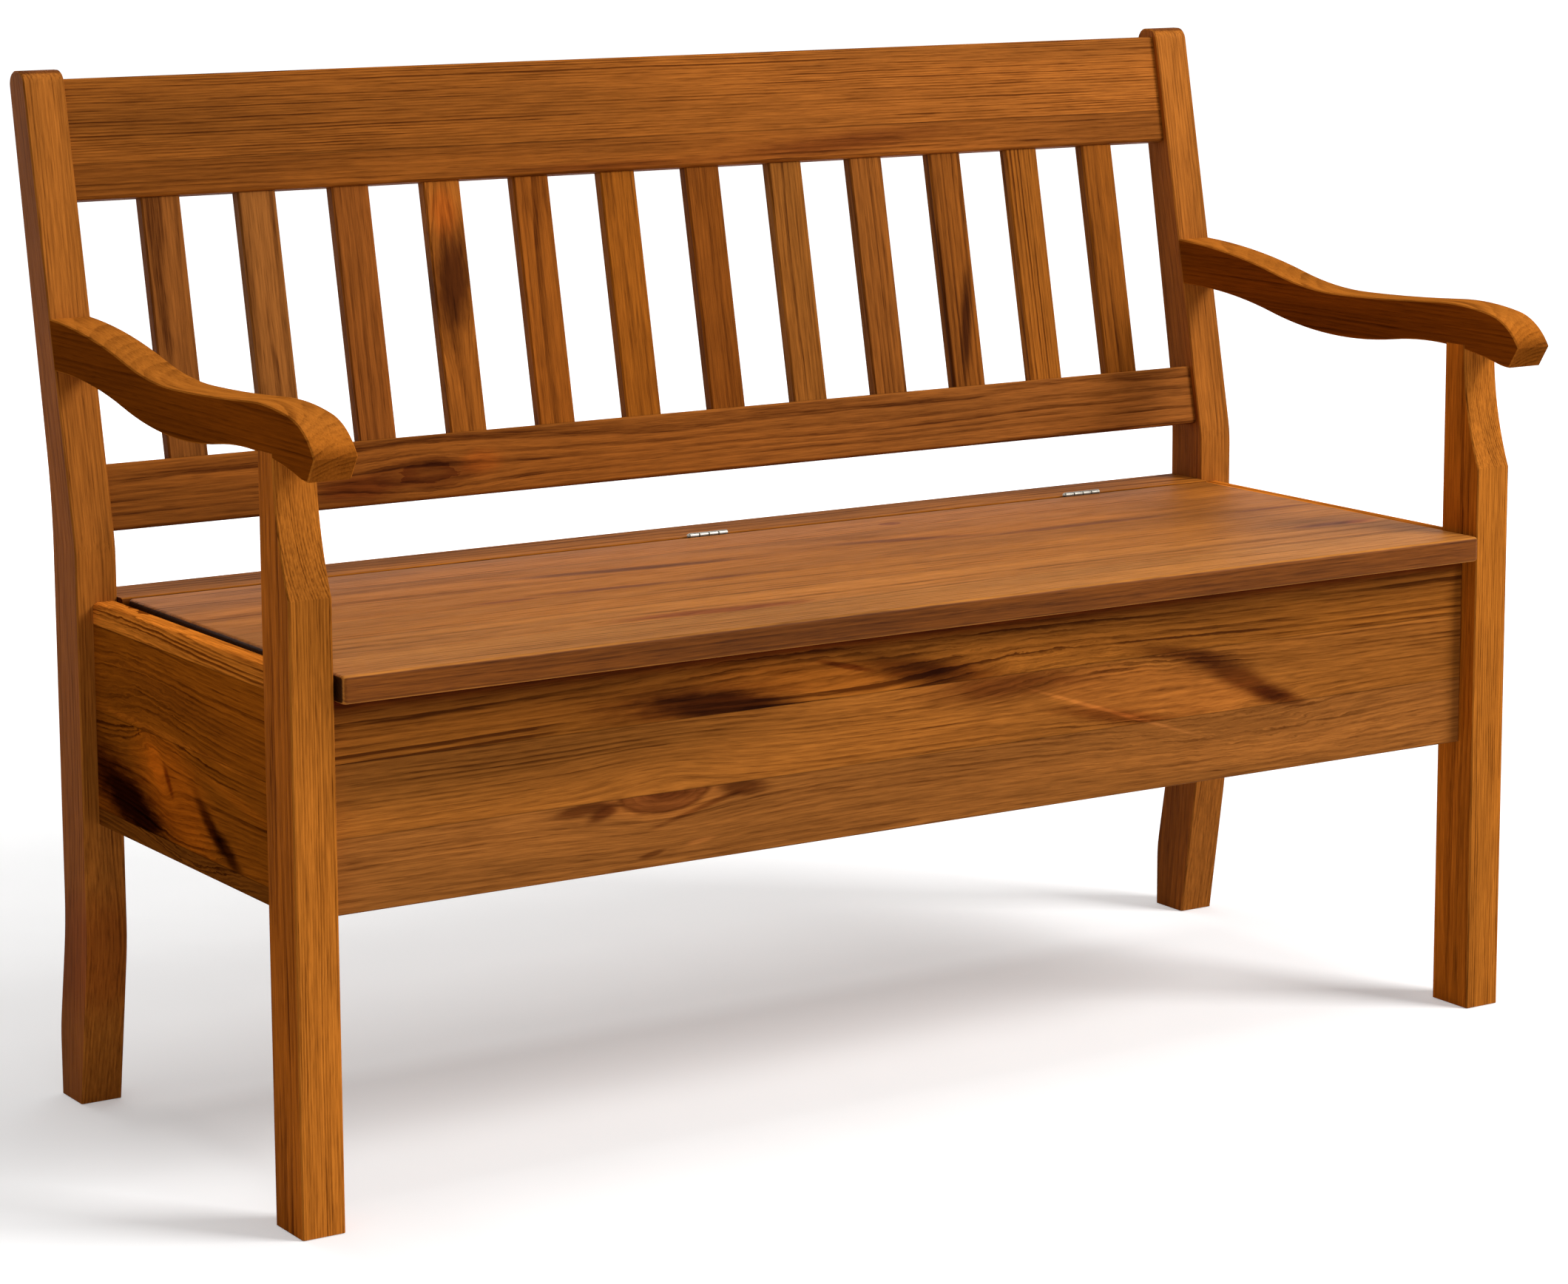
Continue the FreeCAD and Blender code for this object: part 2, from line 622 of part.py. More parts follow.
# Armrests
def make_arm(name, side):
    body = new_body("armrest_" + name)
    sketch = new_sketch(body, "outline_" + name, "YZ_Plane", "%d * Places.frame_centre" % side)
    outline(sketch, [
        ("rear_top", "Places.arm_rear_top", "Sizes.arm_top_height", "Sizes.arm_rear_radius"),
        ("fall", "Sizes.seat_depth - Sizes.arm_fall_run", "Sizes.arm_fall_height", "flow"),
        ("dip", "Sizes.seat_depth - Sizes.arm_dip_run", "Sizes.arm_dip_height", "flow"),
        ("rise", "Sizes.arm_rise_run", "Sizes.arm_rise_height", "flow"),
        ("roll", "-Sizes.arm_roll_reach", "Sizes.arm_roll_height", "flow"),
        ("nose", "-Sizes.arm_nose_reach", "Sizes.arm_nose_height"),
        ("chin", "-Sizes.arm_chin_reach", "Sizes.arm_chin_height", "Sizes.arm_chin_radius"),
        ("throat", "-Sizes.arm_throat_reach", "Sizes.arm_throat_height", "flow"),
        ("under_rise", "Sizes.arm_under_rise_run", "Sizes.arm_under_rise_height", "flow"),
        ("under_fall", "Sizes.seat_depth - Sizes.arm_under_fall_run", "Sizes.arm_under_fall_height", "flow"),
        ("rear_under", "Places.arm_rear_under", "Sizes.arm_under_height"),
    ])
    extrude(body, sketch, "Sizes.frame_width")
    rear = value("Places.arm_rear_under")
    ease_edges(body, "eased_" + name, "Sizes.edge_ease",
                lambda edge: not runs_along(edge, "x") and edge.BoundBox.YMin < rear - 0.1)
    front = "Sizes.leg_depth - Sizes.leg_top_depth - Sizes.butt_gap"
    block(body, "leg_housing_" + name, "%d * Places.frame_centre" % side,
          "Sizes.frame_width + Sizes.cut_overrun", front, "Sizes.leg_depth + Sizes.butt_gap",
          "Sizes.arm_chin_height", "Sizes.leg_height + Sizes.butt_gap", True)
    bore(body, "leg_dowel_bore_" + name, "XY_Plane", "Sizes.leg_height", "%d * Places.frame_centre" % side,
         LEG_DOWEL_Y, DOWEL_BORE_RADIUS, DOWEL_BORE_LENGTH)
    bore(body, "post_dowel_bore_" + name, "XZ_Plane",
         ARM_DOWEL_FACE, "%d * Places.frame_centre" % side, ARM_MIDDLE,
         DOWEL_BORE_RADIUS, DOWEL_BORE_LENGTH)
    return body


# Back rails with a row of slat mortises each
def make_rail(label, bottom, top, mortise_centre):
    body = new_back_body(label)
    block(body, "board_" + label, "0", "2 * Places.inner_half - 2 * Sizes.butt_gap",
          "0", "Sizes.rail_thickness", bottom, top)
    round_edges(body, "rounded_" + label, "Sizes.rail_round", lambda edge: runs_along(edge, "x"))
    block(body, "tenons_" + label, "0", "2 * Places.inner_half + 2 * Sizes.tenon_length",
          "(Sizes.rail_thickness - Sizes.tenon_thickness) / 2",
          "(Sizes.rail_thickness + Sizes.tenon_thickness) / 2",
          bottom + " + Sizes.tenon_shoulder", top + " - Sizes.tenon_shoulder")
    sketch = new_sketch(body, "slat_mortise_" + label, "XY_Plane", mortise_centre)
    first = "-(Sizes.slat_count - 1) / 2 * Places.slat_pitch"
    half = "(Sizes.slat_width / 2 - Sizes.slat_tenon_shoulder + Sizes.fit_gap)"
    middle = "Sizes.slat_inset + Sizes.slat_thickness / 2"
    outline(sketch, rectangle(first + " - " + half, first + " + " + half,
                              middle + " - Sizes.slat_tenon_thickness / 2 - Sizes.fit_gap",
                              middle + " + Sizes.slat_tenon_thickness / 2 + Sizes.fit_gap"))
    mortise = extrude(body, sketch, "Sizes.slat_tenon_length + Sizes.depth_gap", True)
    row(body, [mortise], "X_Axis", "Sizes.slat_count", "Places.slat_pitch")
    return body


# Back slats
def make_slat(number):
    label = "back_slat_%02d" % (number + 1)
    body = new_back_body(label, "(%d - (Sizes.slat_count - 1) / 2) * Places.slat_pitch" % number)
    bottom = "Sizes.lower_rail_height"
    middle = "(" + bottom + " + Places.top_rail_start) / 2"
    sketch = new_sketch(body, "board_" + label, "XY_Plane", middle)
    outline(sketch, rectangle("-Sizes.slat_width / 2", "Sizes.slat_width / 2",
                              "Sizes.slat_inset", "Sizes.slat_inset + Sizes.slat_thickness"))
    extrude(body, sketch, "Sizes.back_opening - 2 * Sizes.butt_gap")
    ease_edges(body, "eased_" + label, "Sizes.slat_ease", lambda edge: runs_along(edge, "z"))
    sketch = new_sketch(body, "tenons_" + label, "XY_Plane", middle)
    half = "Sizes.slat_width / 2 - Sizes.slat_tenon_shoulder"
    centre = "Sizes.slat_inset + Sizes.slat_thickness / 2"
    outline(sketch, rectangle("-(" + half + ")", half, centre + " - Sizes.slat_tenon_thickness / 2",
                              centre + " + Sizes.slat_tenon_thickness / 2"))
    extrude(body, sketch, "Sizes.back_opening + 2 * Sizes.slat_tenon_length")
    return body


# Bores for the dowels between the rear panel and the fixed strip on top of it
def strip_dowel_bores(body):
    hole = bore(body, "dowel_bore_" + body.Label, "XY_Plane", "Places.lid_under", FIRST_STRIP_DOWEL,
                STRIP_DOWEL_Y, "Sizes.strip_dowel_radius + Sizes.fit_gap",
                "Sizes.strip_dowel_length + 2 * Sizes.depth_gap")
    row(body, [hole], "X_Axis", "Sizes.strip_dowel_count", "Sizes.strip_dowel_spacing")


# Front and rear panels of the box
def make_cross_panel(label, front, pilot_plane):
    body = new_body(label)
    length = "2 * Places.inner_half - 2 * Sizes.butt_gap"
    block(body, "board_" + label, "0", length, front, front + " + Sizes.panel_thickness",
          "Sizes.panel_bottom", "Places.lid_under")
    ease_edges(body, "eased_" + label, "Sizes.edge_ease",
                lambda edge: not runs_along(edge, "y"))
    cross_tongue(body, "tongues_" + label, length, front)
    pilot = bore(body, "pilot_" + label, "XZ_Plane", pilot_plane, FIRST_CLEAT_SCREW, CLEAT_SCREW_Z,
                 SCREW_BORE_RADIUS, CLEAT_PILOT_LENGTH)
    row(body, [pilot], "X_Axis", "Sizes.cleat_screw_count", "Sizes.cleat_screw_spacing")
    return body


def make_front_panel():
    return make_cross_panel("front_panel", "Sizes.front_panel_inset", "Places.front_panel_back")


def make_rear_panel():
    body = make_cross_panel("rear_panel", "Places.rear_panel_front", "Places.rear_panel_front")
    strip_dowel_bores(body)
    return body


# Side panels of the box
def make_side_panel(name, side):
    body = new_body("side_panel_" + name)
    block(body, "board_" + name, "%d * Places.side_panel_centre" % side, "Sizes.panel_thickness",
          "Sizes.leg_depth + Sizes.butt_gap", "Sizes.seat_depth - Sizes.butt_gap",
          "Sizes.panel_bottom", "Places.side_panel_top")
    top = value("Places.side_panel_top")
    bottom = value("Sizes.panel_bottom")
    round_edges(body, "rounded_top_" + name, "Sizes.side_panel_round",
                lambda edge: runs_along(edge, "y") and level(edge, top))
    ease_edges(body, "eased_" + name, "Sizes.edge_ease",
                lambda edge: runs_along(edge, "y") and level(edge, bottom))
    side_tongue(body, "tongues_" + name, side, "Sizes.leg_depth - Sizes.tongue_length",
                "Sizes.seat_depth + Sizes.tongue_length")
    pilot = bore(body, "pilot_" + name, "YZ_Plane", "%d * Places.inner_half" % side,
                 FIRST_SIDE_SCREW, CLEAT_SCREW_Z, SCREW_BORE_RADIUS, CLEAT_PILOT_LENGTH)
    row(body, [pilot], "Y_Axis", "Sizes.side_screw_count", "Sizes.side_screw_spacing")
    return body


# Floor of the box and the cleats that carry it
def make_floor():
    body = new_body("box_floor")
    block(body, "board", "0", "2 * Places.inner_half - 2 * Sizes.floor_gap",
          "Places.front_panel_back + Sizes.floor_gap", "Places.rear_panel_front - Sizes.floor_gap",
          "Places.cleat_top", "Places.cleat_top + Sizes.floor_thickness")
    return body


def make_long_cleat(label, front, entry, turn):
    body = new_body(label)
    block(body, "bar_" + label, "0", "2 * Places.inner_half - 2 * Sizes.floor_gap", front,
          front + " + Sizes.cleat_size", "Places.cleat_bottom", "Places.cleat_top")
    hole = screw_hole(body, "screw_hole_" + label, "XZ_Plane", entry, turn, FIRST_CLEAT_SCREW,
                      CLEAT_SCREW_Z, "Sizes.cleat_size", "Sizes.screw_radius", "Sizes.screw_head_radius",
                      "Sizes.screw_head_depth")
    row(body, hole, "X_Axis", "Sizes.cleat_screw_count", "Sizes.cleat_screw_spacing")
    return body


def make_side_cleat(name, side):
    label = "floor_cleat_" + name
    body = new_body(label)
    block(body, "bar_" + name, "%d * (Places.inner_half - Sizes.cleat_size / 2)" % side, "Sizes.cleat_size",
          "Places.front_panel_back + Sizes.cleat_size + Sizes.floor_gap",
          "Places.rear_panel_front - Sizes.cleat_size - Sizes.floor_gap",
          "Places.cleat_bottom", "Places.cleat_top")
    hole = screw_hole(body, "screw_hole_" + name, "YZ_Plane",
                      "%d * (Places.inner_half - Sizes.cleat_size)" % side, side, FIRST_SIDE_SCREW,
                      CLEAT_SCREW_Z, "Sizes.cleat_size", "Sizes.screw_radius", "Sizes.screw_head_radius",
                      "Sizes.screw_head_depth")
    row(body, hole, "Y_Axis", "Sizes.side_screw_count", "Sizes.side_screw_spacing")
    return body


def make_cleat_screws():
    body = new_body("cleat_screws")
    rows = (
        ("front", "(Places.front_panel_back + Sizes.cleat_size)", -1),
        ("rear", "(Places.rear_panel_front - Sizes.cleat_size)", 1),
    )
    for name, face, turn in rows:
        made = screw(body, name + "_screw", "XZ_Plane", face, turn, FIRST_CLEAT_SCREW, CLEAT_SCREW_Z,
                     "Sizes.cleat_screw_length", "Sizes.screw_radius", "Sizes.screw_head_radius",
                      "Sizes.screw_head_depth")
        row(body, made, "X_Axis", "Sizes.cleat_screw_count", "Sizes.cleat_screw_spacing")
    for name, side in SIDES.items():
        made = screw(body, name + "_screw", "YZ_Plane",
                     "%d * (Places.inner_half - Sizes.cleat_size)" % side, side, FIRST_SIDE_SCREW,
                     CLEAT_SCREW_Z, "Sizes.cleat_screw_length", "Sizes.screw_radius",
                     "Sizes.screw_head_radius", "Sizes.screw_head_depth")
        row(body, made, "Y_Axis", "Sizes.side_screw_count", "Sizes.side_screw_spacing")
    return body


# Fixed strip behind the lid
def make_strip():
    body = new_body("rear_seat_strip")
    block(body, "board", "0", "2 * Places.inner_half - 2 * Sizes.butt_gap",
          "Places.strip_front", "Places.post_rear", "Places.lid_under", "Sizes.seat_height")
    top = value("Sizes.seat_height")
    front = value("Places.strip_front")
    rear = value("Places.post_rear")
    round_edges(body, "rounded_front", "Sizes.lid_round",
                lambda edge: level(edge, top) and on_face(edge, front))
    ease_edges(body, "eased_rear", "Sizes.edge_ease",
                lambda edge: runs_along(edge, "x") and on_face(edge, rear))
    strip_dowel_bores(body)
    hinge_pilots(body, "Places.strip_front")
    return body


def hinge_pilots(body, face):
    """Pilot holes for the hinge screws, either side of an edge face square to Y."""
    for name, step in HINGES.items():
        pilot = bore(body, "hinge_pilot_" + name, "XZ_Plane", face,
                     FIRST_HINGE_SCREW % step,
                     "Places.hinge_z - Sizes.hinge_screw_drop",
                     "Sizes.hinge_screw_radius + Sizes.fit_gap",
                     "2 * (Sizes.hinge_screw_length - Sizes.leaf_thickness + Sizes.depth_gap)")
        row(body, [pilot], "X_Axis", "Sizes.hinge_screw_count", "Sizes.hinge_screw_spacing")


# Lid and the battens that keep it flat
def make_lid():
    body = new_body("seat_lid")
    block(body, "board", "0", "2 * Places.lid_half", "-Sizes.lid_proud", "Places.lid_rear",
          "Places.lid_under", "Sizes.seat_height")
    round_edges(body, "corners", "Sizes.lid_corner_round", lambda edge: runs_along(edge, "z"))
    round_edges(body, "rounded", "Sizes.lid_round", lambda edge: not runs_along(edge, "z"))
    for name, step in HINGES.items():
        pilot = bore(body, "batten_pilot_" + name, "XY_Plane", "Places.lid_under",
                     "%d * Sizes.batten_spread" % step,
                     FIRST_BATTEN_SCREW, SCREW_BORE_RADIUS,
                     "2 * (Sizes.batten_screw_length - Sizes.batten_thickness + Sizes.depth_gap)")
        row(body, [pilot], "Y_Axis", "Sizes.batten_screw_count", "Sizes.batten_screw_spacing")
    hinge_pilots(body, "Places.lid_rear")
    return body


def make_batten(name, step):
    body = new_body("lid_batten_" + name)
    bottom = "Places.lid_under - Sizes.batten_thickness"
    block(body, "bar_" + name, "%d * Sizes.batten_spread" % step, "Sizes.batten_width",
          BATTEN_FRONT, BATTEN_REAR, bottom, "Places.lid_under")
    low = value(bottom)
    ease_edges(body, "chamfer_" + name, "Sizes.batten_chamfer", lambda edge: level(edge, low))
    hole = screw_hole(body, "screw_hole_" + name, "XY_Plane", bottom, 1, "%d * Sizes.batten_spread" % step,
                      FIRST_BATTEN_SCREW, "Sizes.batten_thickness", "Sizes.screw_radius",
                      "Sizes.screw_head_radius", "Sizes.screw_head_depth")
    row(body, hole, "Y_Axis", "Sizes.batten_screw_count", "Sizes.batten_screw_spacing")
    return body


def make_batten_screws():
    body = new_body("lid_batten_screws")
    for name, step in HINGES.items():
        made = screw(body, name + "_screw", "XY_Plane", "Places.lid_under - Sizes.batten_thickness", 1,
                     "%d * Sizes.batten_spread" % step, FIRST_BATTEN_SCREW, "Sizes.batten_screw_length",
                     "Sizes.screw_radius", "Sizes.screw_head_radius",
                      "Sizes.screw_head_depth")
        row(body, made, "Y_Axis", "Sizes.batten_screw_count", "Sizes.batten_screw_spacing")
    return body


# Butt hinges: each has a frame leaf, a lid leaf and a pin, drawn about the pin's own axis
def make_leaf(name, step, owner):
    """A leaf with two of the four knuckles. The frame leaf lies behind the axis, the lid leaf in front."""
    label = "hinge_%s_%s_leaf" % (name, owner)
    body = new_body(label, "%d * Sizes.hinge_spread" % step, "Places.hinge_y", "Places.hinge_z")
    behind = owner == "frame"
    near = "Places.leaf_face" if behind else "-Sizes.hinge_gap / 2"
    far = "Sizes.hinge_gap / 2" if behind else "-Places.leaf_face"
    plate_top = "-(Sizes.knuckle_radius + Sizes.knuckle_clearance)"
    block(body, "plate_" + label, "0", "Sizes.hinge_length", near, far, "-Sizes.leaf_drop", plate_top)
    start = "0.5" if behind else "1.5"
    centre = "-Sizes.hinge_length / 2 + " + start + " * Places.knuckle_pitch"
    length = "Places.knuckle_pitch - Sizes.knuckle_gap"
    neck = block(body, "neck_" + label, centre, length, near, far, plate_top, "0")
    knuckle = rod(body, "knuckle_" + label, "YZ_Plane", centre, "0", "0", "Sizes.knuckle_radius", length,
                  "Sizes.knuckle_sides")
    row(body, [neck, knuckle], "X_Axis", "Sizes.knuckle_count / 2", "2 * Places.knuckle_pitch")
    radius = "Sizes.pin_radius" if behind else "Places.pin_bore_radius"
    bore(body, "pin_bore_" + label, "YZ_Plane", "0", "0", "0", radius,
         "Sizes.hinge_length + Sizes.cut_overrun", "Sizes.pin_sides")
    entry = "Places.leaf_face" if behind else "-Places.leaf_face"
    hole = screw_hole(body, "screw_hole_" + label, "XZ_Plane", entry, 1 if behind else -1,
                      FIRST_LEAF_SCREW, "-Sizes.hinge_screw_drop", "Sizes.leaf_thickness",
                      "Sizes.hinge_screw_radius", "Sizes.hinge_screw_head_radius",
                      "Sizes.hinge_screw_head_depth")
    row(body, hole, "X_Axis", "Sizes.hinge_screw_count", "Sizes.hinge_screw_spacing")
    return body


def make_pin(name, step):
    label = "hinge_%s_pin" % name
    body = new_body(label, "%d * Sizes.hinge_spread" % step, "Places.hinge_y", "Places.hinge_z")
    rod(body, "shank_" + label, "YZ_Plane", "0", "0", "0", "Sizes.pin_radius", "Sizes.hinge_length",
        "Sizes.pin_sides")
    rod(body, "head_" + label, "YZ_Plane", "-(Sizes.hinge_length + Sizes.pin_head_height) / 2", "0", "0",
        "Sizes.pin_head_radius", "Sizes.pin_head_height", "Sizes.pin_sides")
    return body


def make_hinge_screws(owner, face, turn):
    body = new_body("hinge_screws_" + owner)
    for name, step in HINGES.items():
        made = screw(body, name + "_screw", "XZ_Plane", face, turn, FIRST_HINGE_SCREW % step,
                     "Places.hinge_z - Sizes.hinge_screw_drop", "Sizes.hinge_screw_length",
                     "Sizes.hinge_screw_radius", "Sizes.hinge_screw_head_radius",
                     "Sizes.hinge_screw_head_depth")
        row(body, made, "X_Axis", "Sizes.hinge_screw_count", "Sizes.hinge_screw_spacing")
    return body


# Dowels
def make_arm_dowels():
    body = new_body("arm_dowels")
    upright = rod(body, "leg_dowel", "XY_Plane", "Sizes.leg_height", "Places.frame_centre",
                  LEG_DOWEL_Y, "Sizes.dowel_radius", "Sizes.dowel_length")
    lying = rod(body, "post_dowel", "XZ_Plane",
                ARM_DOWEL_FACE, "Places.frame_centre", ARM_MIDDLE, "Sizes.dowel_radius",
                "Sizes.dowel_length")
    mirror = body.newObject("PartDesign::Mirrored", "other_side")
    mirror.Originals = [upright, lying]
    mirror.MirrorPlane = (origin_feature(body, "YZ_Plane"), [""])
    body.Tip = mirror
    document.recompute()
    return body


def make_strip_dowels():
    body = new_body("strip_dowels")
    dowel = rod(body, "dowel", "XY_Plane", "Places.lid_under", FIRST_STRIP_DOWEL, STRIP_DOWEL_Y,
                "Sizes.strip_dowel_radius", "Sizes.strip_dowel_length")
    row(body, [dowel], "X_Axis", "Sizes.strip_dowel_count", "Sizes.strip_dowel_spacing")
    return body


for side_name, side_sign in SIDES.items():
    make_post(side_name, side_sign)
    make_leg(side_name, side_sign)
    make_arm(side_name, side_sign)
    make_side_panel(side_name, side_sign)
    make_side_cleat(side_name, side_sign)
make_rail("lower_back_rail", "0", "Sizes.lower_rail_height",
          "Sizes.lower_rail_height - (Sizes.slat_tenon_length + Sizes.depth_gap) / 2")
make_rail("top_rail", "Places.top_rail_start", "Places.top_rail_start + Sizes.top_rail_height",
          "Places.top_rail_start + (Sizes.slat_tenon_length + Sizes.depth_gap) / 2")
for slat_number in range(int(value("Sizes.slat_count"))):
    make_slat(slat_number)
make_front_panel()
make_rear_panel()
make_floor()
make_long_cleat("floor_cleat_front", "Places.front_panel_back",
                "(Places.front_panel_back + Sizes.cleat_size)", -1)
make_long_cleat("floor_cleat_rear", "Places.rear_panel_front - Sizes.cleat_size",
                "(Places.rear_panel_front - Sizes.cleat_size)", 1)
make_cleat_screws()
make_strip()
make_strip_dowels()
make_arm_dowels()
make_lid()
for hinge_name, hinge_step in HINGES.items():
    make_batten(hinge_name, hinge_step)
    make_leaf(hinge_name, hinge_step, "frame")
    make_leaf(hinge_name, hinge_step, "lid")
    make_pin(hinge_name, hinge_step)
make_batten_screws()
make_hinge_screws("frame", "(Places.hinge_y + Places.leaf_face)", 1)
make_hinge_screws("lid", "(Places.hinge_y - Places.leaf_face)", -1)

# Check every object, then write the pieces
document.recompute()
for item in document.Objects:
    if "Invalid" in item.State or "Error" in item.State:
        raise RuntimeError(item.Name + " did not build")
os.makedirs("parts", exist_ok=True)
for node in nodes:
    if node.Shape.isNull() or not node.Shape.isValid() or not node.Shape.Solids:
        raise RuntimeError(node.Label + " has no valid solid")
for node in nodes:
    node.Shape.exportStep("parts/" + node.Label + ".step")
print(len(nodes), "pieces")
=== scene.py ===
"""Settle bench with a storage box under its hinged seat: woods, metal, lights and camera.

Metres, in the bench's own frame: X to the viewer's right, Y to the back, Z up.
"""

import math
import random

import bmesh
import bpy
from mathutils import Matrix, Vector


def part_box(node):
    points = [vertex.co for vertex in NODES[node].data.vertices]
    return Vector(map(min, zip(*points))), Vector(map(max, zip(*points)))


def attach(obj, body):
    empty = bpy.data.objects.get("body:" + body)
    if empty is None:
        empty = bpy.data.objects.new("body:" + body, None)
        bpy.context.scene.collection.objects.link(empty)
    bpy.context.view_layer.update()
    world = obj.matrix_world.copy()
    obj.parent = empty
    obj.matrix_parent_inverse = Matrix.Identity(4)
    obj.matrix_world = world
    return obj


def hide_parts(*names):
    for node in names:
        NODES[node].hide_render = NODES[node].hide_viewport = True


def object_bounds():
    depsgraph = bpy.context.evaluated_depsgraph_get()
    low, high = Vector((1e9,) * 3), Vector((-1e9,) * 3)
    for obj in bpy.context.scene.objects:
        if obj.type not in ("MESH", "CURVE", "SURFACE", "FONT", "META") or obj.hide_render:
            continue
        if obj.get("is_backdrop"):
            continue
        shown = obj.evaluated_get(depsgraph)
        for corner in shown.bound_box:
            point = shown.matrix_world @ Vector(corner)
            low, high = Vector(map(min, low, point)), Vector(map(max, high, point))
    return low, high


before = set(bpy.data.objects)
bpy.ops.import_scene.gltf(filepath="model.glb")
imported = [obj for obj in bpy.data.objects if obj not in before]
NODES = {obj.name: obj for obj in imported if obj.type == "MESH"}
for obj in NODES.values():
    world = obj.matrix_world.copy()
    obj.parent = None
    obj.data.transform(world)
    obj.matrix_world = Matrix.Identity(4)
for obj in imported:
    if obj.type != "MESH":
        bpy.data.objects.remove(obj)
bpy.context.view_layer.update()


def stain(red, green, blue):
    """A colour as a screen shows it, 0 to 255, as the linear colour that a shader takes."""
    linear = [
        c / 12.92 if c <= 0.04045 else ((c + 0.055) / 1.055) ** 2.4
        for c in (red / 255, green / 255, blue / 255)
    ]
    return (*linear, 1.0)


class Web:
    """Puts nodes in a tree. A value is a number, a tuple or another node's socket."""

    def __init__(self, tree):
        self.nodes = tree.nodes
        self.links = tree.links

    def put(self, socket, value):
        if isinstance(value, bpy.types.NodeSocket):
            self.links.new(value, socket)
        elif value is not None:
            socket.default_value = value

    def node(self, kind, **settings):
        made = self.nodes.new("ShaderNode" + kind)
        for key, value in settings.items():
            setattr(made, key, value)
        return made

    def math(self, operation, a, b=None, c=None, clamp=False):
        made = self.node("Math", operation=operation, use_clamp=clamp)
        for socket, value in zip(made.inputs, (a, b, c)):
            self.put(socket, value)
        return made.outputs[0]

    def vector(self, operation, a, b=None):
        made = self.node("VectorMath", operation=operation)
        self.put(made.inputs[0], a)
        self.put(made.inputs[1], b)
        scalar = operation in ("DOT_PRODUCT", "LENGTH", "DISTANCE")
        return made.outputs["Value" if scalar else "Vector"]

    def join(self, x, y, z):
        made = self.node("CombineXYZ")
        for socket, value in zip(made.inputs, (x, y, z)):
            self.put(socket, value)
        return made.outputs[0]

    def split(self, value):
        made = self.node("SeparateXYZ")
        self.put(made.inputs[0], value)
        return made.outputs

    def turn(self, value, angle):
        """A point turned about Z."""
        made = self.node("VectorRotate", rotation_type="Z_AXIS")
        self.put(made.inputs["Vector"], value)
        self.put(made.inputs["Angle"], angle)
        return made.outputs[0]

    def smooth(self, value, low, high, start=0.0, end=1.0):
        """A soft step from start to end while the value goes from low to high."""
        made = self.node("MapRange", interpolation_type="SMOOTHSTEP")
        for socket, given in zip(made.inputs, (value, low, high, start, end)):
            self.put(socket, given)
        return made.outputs[0]

    def mix(self, factor, a, b, kind="FLOAT", blend="MIX"):
        made = self.node("Mix", data_type=kind)
        first = {"FLOAT": 2, "VECTOR": 4, "RGBA": 6}[kind]
        if kind == "RGBA":
            made.blend_type = blend
        self.put(made.inputs[0], factor)
        self.put(made.inputs[first], a)
        self.put(made.inputs[first + 1], b)
        return made.outputs[{"FLOAT": 0, "VECTOR": 1, "RGBA": 2}[kind]]

    def multiply(self, colour, other):
        return self.mix(1.0, colour, other, "RGBA", "MULTIPLY")

    def shade(self, colour, amount):
        """A colour made lighter or darker by one number."""
        return self.vector("MULTIPLY", colour, self.join(amount, amount, amount))

    def noise(self, place, stretch, detail=1.0, roughness=0.5, colour=False):
        made = self.node("TexNoise")
        self.put(made.inputs["Vector"], self.vector("MULTIPLY", place, stretch))
        made.inputs["Scale"].default_value = 1.0
        made.inputs["Detail"].default_value = detail
        made.inputs["Roughness"].default_value = roughness
        return made.outputs["Color" if colour else "Fac"]

    def looked_at(self):
        """1 where something is seen, straight or reflected, and 0 where it only lights."""
        path = self.node("LightPath").outputs
        seen = self.math("MAXIMUM", path["Is Camera Ray"], path["Is Glossy Ray"])
        return self.math("MAXIMUM", seen, path["Is Transmission Ray"])

    def end(self, shader, kind="OutputMaterial"):
        """Makes the shader the one that shows."""
        self.links.new(shader.outputs[0], self.node(kind).inputs["Surface"])


def new_material(name):
    """An empty material and the web for its nodes."""
    material = bpy.data.materials.new(name)
    material.use_nodes = True
    material.node_tree.nodes.clear()
    return material, Web(material.node_tree)


def group(name, inputs, outputs):
    """A new node group with its web, its input sockets and its output node."""
    tree = bpy.data.node_groups.new(name, "ShaderNodeTree")
    for label, kind in inputs:
        tree.interface.new_socket(name=label, in_out="INPUT", socket_type="NodeSocket" + kind)
    for label, kind in outputs:
        tree.interface.new_socket(name=label, in_out="OUTPUT", socket_type="NodeSocket" + kind)
    web = Web(tree)
    given = tree.nodes.new("NodeGroupInput").outputs
    return tree, web, given, tree.nodes.new("NodeGroupOutput").inputs


EARLY = stain(166, 99, 34)
LATE = stain(84, 41, 8)
HALF = (0.5, 0.5, 0.5)
# How closely each part of the figure repeats, along the grain and across it.
SWING_STRETCH, WAVER_STRETCH, BREAK_STRETCH = (1.7, 8, 8), (14, 90, 90), (5, 75, 75)
FIBRE_STRETCH, DASH_STRETCH = (20, 560, 560), (34, 900, 900)
STREAK_STRETCH, BLOTCH_STRETCH = (1.1, 60, 60), (2.2, 20, 20)
WAVER = 0.0016
YEAR_DRIFT, YEAR_DRIFT_STRETCH = 3.0, (42, 0, 0)
BASE_DEPTH, STREAK_DEPTH, DASH_DEPTH = 0.22, 0.12, 0.2


